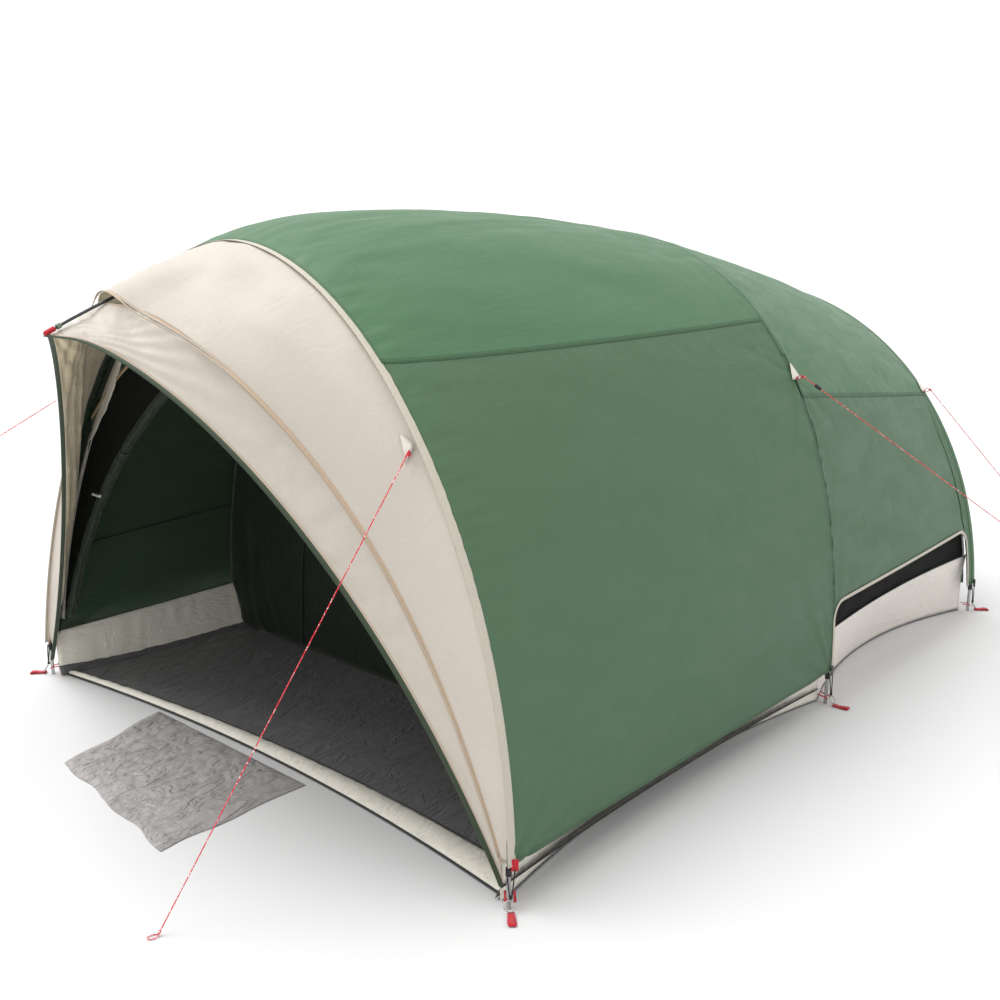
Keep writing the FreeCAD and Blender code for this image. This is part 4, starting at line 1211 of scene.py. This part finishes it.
def floor_relief(point, edge):
    calm = smooth(0.0, 0.05, edge)
    out = 0.0030 + 0.0030 * waves(point, Vector((0.8, 0.5, 0)), 0.35, 0.10, 2.0)
    out += 0.0022 * creases(point, 0.13, 6.0) + 0.0014 * waves(point, Vector((0.3, 1, 0)), 0.2, 0.03, 7.0)
    return max(0.0, out * calm)


def make_groundsheet():
    columns, count = 150, 190
    rows = []
    for step in range(count + 1):
        share = step / count
        row = []
        for column in range(columns + 1):
            place = mix(1.0, -1.0, column / columns)
            front = FLOOR_FRONT + SIDE_BOW * (1 - place * place)
            rear = FLOOR_REAR - SIDE_BOW * 0.7 * (1 - place * place)
            y = mix(front, rear, share)
            row.append(Vector((place * floor_half(y), y, FLOOR_TOP)))
        rows.append(row)
    piece = sheet_piece("floor_cloth", rows, [FLOOR], floor_relief, 0.001, ("groundsheet",))


def wall_rows(side, first_y, last_y, depth, base, top, columns=16, count=110):
    """A low wall: its foot follows the floor's bowed edge and its top runs nearly straight."""
    rows = []
    for step in range(count + 1):
        share = step / count
        y = mix(first_y, last_y, share)
        low = FLOOR_HALF - 0.004 - bow(share, depth)
        high = FLOOR_HALF + 0.005 - bow(share, depth * 0.3)
        row = []
        for column in range(columns + 1):
            up = column / columns
            x = mix(low, high, up) - 0.006 * math.sin(math.pi * up)
            row.append(Vector((side * x, y, mix(base, top, up))))
        rows.append(facing(row, side))
    return rows


def tub_relief(point, edge):
    calm = smooth(0.0, 0.015, edge)
    out = 0.0042 * calm * waves(point, Vector((0.2 * side_of(point), 0.25, 1)), 0.20, 0.030, 2.0)
    return out + 0.0020 * calm * creases(point, 0.07, 3.0)


def edge_cord(name, points, radius=0.0022):
    tube_piece(name, [points], radius, PIPING)


PORCH_WALL_TOP, VENT_WALL_TOP = 0.165, 0.240
FLOOR_CURL = 0.045               # the grey floor turns up this far before the cream wall starts


def make_floor_curl(side, name, first_y, last_y, depth):
    """The grey floor turns up against the low wall."""
    rows = wall_rows(side, first_y, last_y, depth, FLOOR_TOP, FLOOR_CURL, 6)
    for row in rows:
        for spot in range(len(row)):
            up = spot / 6 if side > 0 else 1 - spot / 6
            row[spot] = row[spot] - X * (side * (0.006 + 0.012 * (1 - up) ** 2))
    piece = sheet_piece("floor_curl_" + name, rows, [FLOOR], None, 0.001)
    edge_cord("tub_foot_" + name, upper_edge(rows, side))


def upper_edge(rows, side):
    return [row[-1 if side > 0 else 0] for row in rows[::5]]


def make_tub():
    runs = (("porch", FRONT_Y + 0.006, MID_Y - 0.001, SIDE_BOW, PORCH_WALL_TOP),
            ("cabin", MID_Y + 0.001, REAR_Y - 0.014, VENT_BOW, VENT_WALL_TOP))
    for label, first_y, last_y, depth, top in runs:
        cloth = CREAM_WALL if label == "porch" else CREAM_LOW
        for side, name in SIDES:
            rows = wall_rows(side, first_y, last_y, depth, FLOOR_TOP, top)
            place = label + "_" + name
            piece = sheet_piece("tub_" + place, rows, [cloth], tub_relief, nodes=("bathtub_" + place,))
            edge_cord("tub_top_" + place, upper_edge(rows, side))
            if label == "porch":
                make_floor_curl(side, name, first_y, last_y, depth)
    rows = []
    for step in range(13):
        z = mix(FLOOR_TOP, PORCH_WALL_TOP, step / 12)
        rows.append([Vector((mix(1.01, -1.01, column / 100), REAR_Y - 0.094, z)) for column in range(101)])
    piece = sheet_piece("tub_rear", rows, [CREAM_WALL], tub_relief, nodes=("bathtub_rear",))


def front_edge(x, inset=0.0):
    place = x / FLOOR_HALF
    return FLOOR_FRONT + inset + SIDE_BOW * (1 - place * place)


def make_threshold():
    """The cream strip along the doorway, between two black cords."""
    rows = []
    for step in range(9):
        share = step / 8
        row = []
        for column in range(141):
            place = mix(1.0, -1.0, column / 140)
            x = place * (FLOOR_HALF - 0.012 - 0.05 * share)
            depth = mix(0.030, 0.105, (place + 1) / 2)
            height = 0.0060 + 0.010 * math.sin(math.pi * share) ** 0.8
            row.append(Vector((x, front_edge(x, 0.004) + depth * share, height)))
        rows.append(row)

    def relief(point, edge):
        calm = smooth(0.0, 0.012, edge)
        out = 0.0030 * calm * waves(point, Vector((0.35, 1, 0)), 0.12, 0.035, 4.0)
        return out + 0.001 * calm * creases(point, 0.05)

    piece = sheet_piece("threshold_cloth", rows, [CREAM_WALL], relief, nodes=("threshold",))
    for name, row, shift, radius in (("edge", rows[0], Vector((0, -0.001, 0.0004)), 0.0032),
                                     ("back", rows[-1], Vector((0, 0.001, 0.0020)), 0.0018)):
        edge_cord("threshold_" + name, [point + shift for point in row[::5]], radius)


def make_mat():
    (left, front, _), (right, back, _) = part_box("doormat")
    slant, left_front = 0.113, front + 0.090     # it lies askew
    columns, count = 120, 84
    rows = []
    for step in range(count + 1):
        row = []
        for column in range(columns + 1):
            across, ahead = column / columns, step / count
            far_side = mix(left + slant, left, ahead)
            near_edge = mix(front, left_front, across)
            x, y = mix(right, far_side, across), mix(near_edge, back, ahead)
            ragged = noise.noise(Vector((x * 6, y * 6, 2.0)))
            corner = abs(across - 0.5) * 2
            x += -0.020 * (corner ** 3) * math.copysign(1, x - (left + right) / 2) * (0.5 + 0.8 * ragged)
            y += 0.022 * (1 - ahead) ** 4 * (0.5 + 0.9 * noise.noise(Vector((x * 7, 5.0, 0.0))))
            row.append(Vector((x, y, 0.0020)))
        rows.append(row)

    def relief(point, edge):
        out = 0.0055 + 0.0060 * waves(point, Vector((0.5, 1, 0)), 0.28, 0.06, 3.0)
        out += 0.0050 * creases(point, 0.10, 9.0) + 0.0020 * creases(point, 0.045, 2.0)
        return max(0.0, out) * smooth(-0.004, 0.03, edge)

    piece = sheet_piece("mat_cloth", rows, [MAT], relief, 0.001)
    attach(piece, "doormat")
    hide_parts("doormat")


make_groundsheet()
make_tub()
make_threshold()
make_mat()


# ---------------------------------------------------------------- cabin

LINER_GAP = 0.040
CABIN_START = 0.757              # front hoop to the cabin's front wall
NET_TOP = 0.47


def liner_relief(point, edge):
    calm = smooth(0.0, 0.05, edge)
    return 0.006 * calm * waves(point, SLANT, 0.6, 0.16, 11.0) + 0.001 * calm * creases(point, 0.12, 8.0)


def make_cabin():
    lift = SKIN - LINER_GAP
    start = CABIN_START / (MID_Y - FRONT_Y)
    for label, run, reach, seam in (("front", roof_arch, (start + 0.01, 0.998), (1.15, 1.15)),
                                    ("rear", tail_arch, (0.002, 0.955), (1.15, 0.92))):
        low = along_seam(seam)
        panel("liner_roof_" + label, run, low, other_end(low), (70, 60), [CABIN, CABIN], liner_relief,
              stands_for("cabin_liner_roof", label == "front"), lift=lift, reach=reach)
        for side, name in SIDES:
            panel("liner_side_" + label + "_" + name, run, from_height(0.48), low, (40, 60), [CABIN, CABIN],
                  liner_relief, stands_for("cabin_liner_sides", label == "front" and side > 0), side, lift,
                  reach)
    make_vent_nets()
    make_cabin_wall()


def make_vent_nets():
    for side, name in SIDES:
        rows = []
        for step in range(91):
            share = step / 90
            y = mix(MID_Y + 0.010, REAR_Y - 0.016, share)
            arch = tail_arch((y - MID_Y) / TAIL_RUN)
            low_x = FLOOR_HALF - bow(share, VENT_BOW * 0.3) - 0.001
            high_x = arch.point(arch.turn_at(NET_TOP), 0.0).x
            row = [Vector((side * mix(low_x, high_x, up / 12), y, mix(VENT_WALL_TOP, NET_TOP, up / 12)))
                   for up in range(13)]
            rows.append(facing(row, side))
        piece = sheet_piece("vent_net_" + name, rows, [NET], slack_relief, 0.0,
                            stands_for("vent_mesh", side > 0))


def make_cabin_wall():
    y = FRONT_Y + CABIN_START - 0.007
    arch = roof_arch(CABIN_START / (MID_Y - FRONT_Y))
    rows = inside_arch(arch, -0.052, 0.004, lambda z: y, 110, 90, 0.972)

    def relief(point, edge):
        calm = smooth(0.0, 0.02, edge)
        out = 0.004 * calm * waves(point, Z, 0.7, 0.16, 3.0) + 0.0012 * calm * creases(point, 0.12, 2.0)
        for side in (1, -1):
            foot = Vector((side * 0.94, y, 0.02))
            out += 0.0060 * pleats(point, foot, Vector((-side, 0, 0)), Z, 15, 0.40, 6.0)
        return out

    wall = sheet_piece("cabin_wall", rows, [CABIN_DARK], relief, nodes=("cabin_front_wall",))
    seams = []
    for side in (1, -1):
        line = []
        for step in range(13):
            share = step / 12
            line.append(Vector((side * mix(0.60, 0.30, share ** 2.2), y - 0.004, mix(0.03, 1.15, share))))
        seams.append(line)
    tube_piece("cabin_zips", seams, 0.0032, ZIP_DARK)


make_cabin()


def make_inner_seams():
    """A dark seam tape along the inside of each side panel."""
    for side, name in SIDES:
        line = []
        for step in range(41):
            share = mix(0.02, 0.50, step / 40)
            arch = roof_arch(share)
            line.append(on_side(arch.point(arch.turn_at(0.47 + 0.02 * share), SKIN - 0.014), side))
        edge_cord("inner_seam_" + name, line, 0.0026)


make_inner_seams()


# ---------------------------------------------------------------- corners

def corner_spots():
    """Each foot's place and the way its peg loop points."""
    top = 0.092
    spots = []
    for arch, outward in ((FRONT, -1), (MID, 0), (REAR, 1)):
        point = arch.point(arch.turn_at(top))
        for side in (1, -1):
            spots.append((Vector((side * point.x, point.y, 0)), Vector((side, outward, 0)).normalized()))
    return spots


def strap_between(name, points, width, material, nodes=(), thickness=0.0016):
    """Webbing that lies level across its width."""
    dense = []
    for start, end in zip(points, points[1:]):
        dense += [start.lerp(end, step / 8) for step in range(8)]
    dense.append(points[-1])

    def level(point, heading):
        way = heading.cross(Z)
        return way if way.length > 0.05 else heading.cross(X)

    return ribbon(name, dense, level, width / 2, material, 0.0003, nodes, thickness)


def peg_loop(index, spot, heading, side):
    """A long flat loop of webbing that lies on the ground."""
    base = spot + heading * 0.028
    loop = []
    for step in range(33):
        share = step / 32
        out = 0.002 + 0.054 * math.sin(math.pi * share) ** 0.62
        height = 0.0030 + 0.0045 * share + 0.0030 * math.sin(2 * math.pi * share)
        sway = side * (0.0030 * math.sin(2 * math.pi * share + index))
        loop.append(base + heading * out + sway + Z * max(0.0022, height))
    ribbon("peg_loop_%d" % index, loop, lambda point, way: side, 0.009, RED, 0.0003,
           stands_for("peg_loops", index == 0), 0.0014)


def corner_straps(index, spot, heading, side):
    """Two short straps from the floor's corner to the ring."""
    drop = [spot - heading * 0.026 + Z * 0.031, spot + heading * 0.004 + Z * 0.027,
            spot + heading * 0.012 + Z * 0.022]
    for way, label in ((1, "a"), (-1, "b")):
        points = [point + side * (way * 0.0115) for point in drop]
        strap_between("corner_strap_%d%s" % (index, label), points, 0.007, RED,
                      stands_for("corner_straps", index == 0 and way > 0))


def corner_elastic(index, spot, heading, side):
    """Two cords that pull the hem down to the ring, with a knot round them."""
    lines = []
    for way in (1, -1):
        top = spot + heading * 0.012 + side * (way * 0.011) + Z * (HEM - 0.006)
        low = spot + heading * 0.018 + side * (way * 0.003) + Z * 0.042
        lines.append([top, top.lerp(low, 0.5) + heading * 0.002, low])
    knot = wound(spot + heading * 0.018 + Z * 0.036, Z, 0.0032, 3, KNOT_PITCH)
    tube_piece("corner_elastic_%d" % index, lines + [knot], 0.0018, ELASTIC,
               stands_for("corner_elastics", index == 0))


def corner_tape(index, spot, heading):
    """The tape that binds the corner of the hem."""
    tape = []
    for step in range(9):
        z = mix(HEM + 0.020, HEM - 0.012, step / 8)
        tape.append(Vector((spot.x + math.copysign(0.0145, spot.x), spot.y, z)) + heading * 0.001)
    ribbon("corner_tape_%d" % index, tape, lambda point, way: way.cross(heading), 0.0095,
           RED if index in (0, 1) else BINDING_DARK, 0.0004, (), 0.0014)


def make_corners():
    for index, (spot, heading) in enumerate(corner_spots()):
        side = heading.cross(Z)
        peg_loop(index, spot, heading, side)
        corner_straps(index, spot, heading, side)
        corner_elastic(index, spot, heading, side)
        corner_tape(index, spot, heading)


POCKET_RADIUS, POCKET_RUN = 0.0066, 0.031


def make_ridge_pockets():
    """A round-nosed pocket of red webbing over each end of the ridge pole."""
    low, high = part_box("ridge_pole_rods")
    ends = ((Vector((0, low[1], 1.371)), Vector((0, 0.92, 0.38))),
            (Vector((0, high[1], 1.180)), Vector((0, -0.89, 0.46))))
    for index, (tip, inward) in enumerate(ends):
        inward = inward.normalized()
        up = inward.cross(X).normalized()
        rows = []
        for step in range(14):
            share = step / 13
            centre = tip + inward * (POCKET_RUN * share - 0.006)
            radius = POCKET_RADIUS * (1 if share > 0.12 else math.sqrt(max(0.02, share / 0.12)))
            row = []
            for spoke in range(17):
                angle = 2 * math.pi * spoke / 16
                row.append(centre + X * (radius * math.cos(angle)) + up * (radius * 0.85 * math.sin(angle)))
            rows.append(row)
        piece = sheet_piece("ridge_pocket_%d" % index, rows, [RED], None, 0.0010,
                            stands_for("ridge_pockets", index == 0))


def make_guy_patches():
    """Cream triangles sewn on at each guy-out, with a loop of red webbing."""
    patch = fabric("patch_cream", tone(226, 222, 212), 0.55, 0.06, 0.0006,
                   stitches=(tone(206, 190, 170), (0.003,)))
    for name, run, share, z in GUY_OUTS:
        for side, label in SIDES:
            spot, up, along, outward = skin_frame(run, share, z, side)
            rows = []
            for step in range(9):
                height = step / 8
                centre = spot + up * (0.056 * height) + outward * 0.0018
                half = 0.026 - 0.023 * height
                rows.append([centre + along * (half * spread * side) for spread in (-1, -0.5, 0, 0.5, 1)])
            first = name == "front" and side > 0
            piece = sheet_piece("patch_" + name + "_" + label, rows, [patch], None, 0.0012,
                                stands_for("guyout_patches", first))
            loop = []
            for step in range(21):
                angle = math.pi * 2 * step / 20
                rise = up * (0.0065 * math.sin(angle))
                loop.append(spot + outward * (0.014 - 0.0105 * math.cos(angle)) + rise)
            ribbon("guy_loop_tape_" + name + "_" + label, loop, lambda point, way, along=along: along,
                   0.0045, RED, 0.0, stands_for("guyout_loops", first), 0.001)


make_corners()
make_ridge_pockets()
make_guy_patches()


# ---------------------------------------------------------------- what the CAD parts are made of

KEPT = {
    "front_hoop_rods": FIBREGLASS, "mid_hoop_rods": FIBREGLASS, "rear_hoop_rods": FIBREGLASS,
    "ridge_pole_rods": FIBREGLASS, "pole_ferrules": STEEL, "shock_cords": ELASTIC, "pole_feet": STEEL,
    "pole_collars": BLACK_PLASTIC, "corner_rings": STEEL, "ridge_stop": GREEN_PLASTIC,
    "door_toggle_right": WHITE_PLASTIC, "door_toggle_left": WHITE_PLASTIC,
    "zip_slider_right": STEEL, "zip_slider_left": STEEL, "guy_runner": BLACK_PLASTIC,
}


def dress_cad_parts():
    for name, material in KEPT.items():
        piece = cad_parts[name]
        if not piece.material_slots:
            piece.data.materials.append(material)
        for holder in piece.material_slots:
            holder.link = "OBJECT"
            holder.material = material


dress_cad_parts()


# ---------------------------------------------------------------- floor and light

SUN_SHARE = 0.80                 # light on the floor from the sun, next to 1 from the white all round
SUN_TILT = math.radians(28)
FLOOR_LEVEL = 1.2 / (1 + SUN_SHARE)
GROUND = 40.0                    # half the width of the studio's floor


def make_stage():
    mesh = bpy.data.meshes.new("studio_floor")
    corners = [(-GROUND, -GROUND, 0), (GROUND, -GROUND, 0), (GROUND, GROUND, 0), (-GROUND, GROUND, 0)]
    mesh.from_pydata(corners, [], [(0, 1, 2, 3)])
    ground = bpy.data.objects.new("studio_floor", mesh)
    bpy.context.collection.objects.link(ground)
    surface = Surface("studio_white", (FLOOR_LEVEL, FLOOR_LEVEL, FLOOR_LEVEL, 1.0), 0.9, specular=0.0)
    mesh.materials.append(surface.material)
    bpy.context.scene.view_settings.view_transform = "Standard"


def make_sky():
    """Even white all round, like a photographer's sweep."""
    world = bpy.data.worlds.new("studio")
    world.use_nodes = True
    background = world.node_tree.nodes["Background"]
    background.inputs["Color"].default_value = (1.0, 1.0, 1.0, 1.0)
    background.inputs["Strength"].default_value = 1.0
    bpy.context.scene.world = world


def make_sun():
    """A soft sun from high up on the tent's left."""
    data = bpy.data.lights.new("soft_sun", "SUN")
    data.angle = math.radians(50)
    data.energy = math.pi * SUN_SHARE / math.cos(SUN_TILT)
    light = bpy.data.objects.new("soft_sun", data)
    bpy.context.collection.objects.link(light)
    light.location = (-1.5, -1.5, 4.0)
    light.rotation_euler = (0.0, -SUN_TILT, math.radians(20))


make_stage()
make_sky()
make_sun()
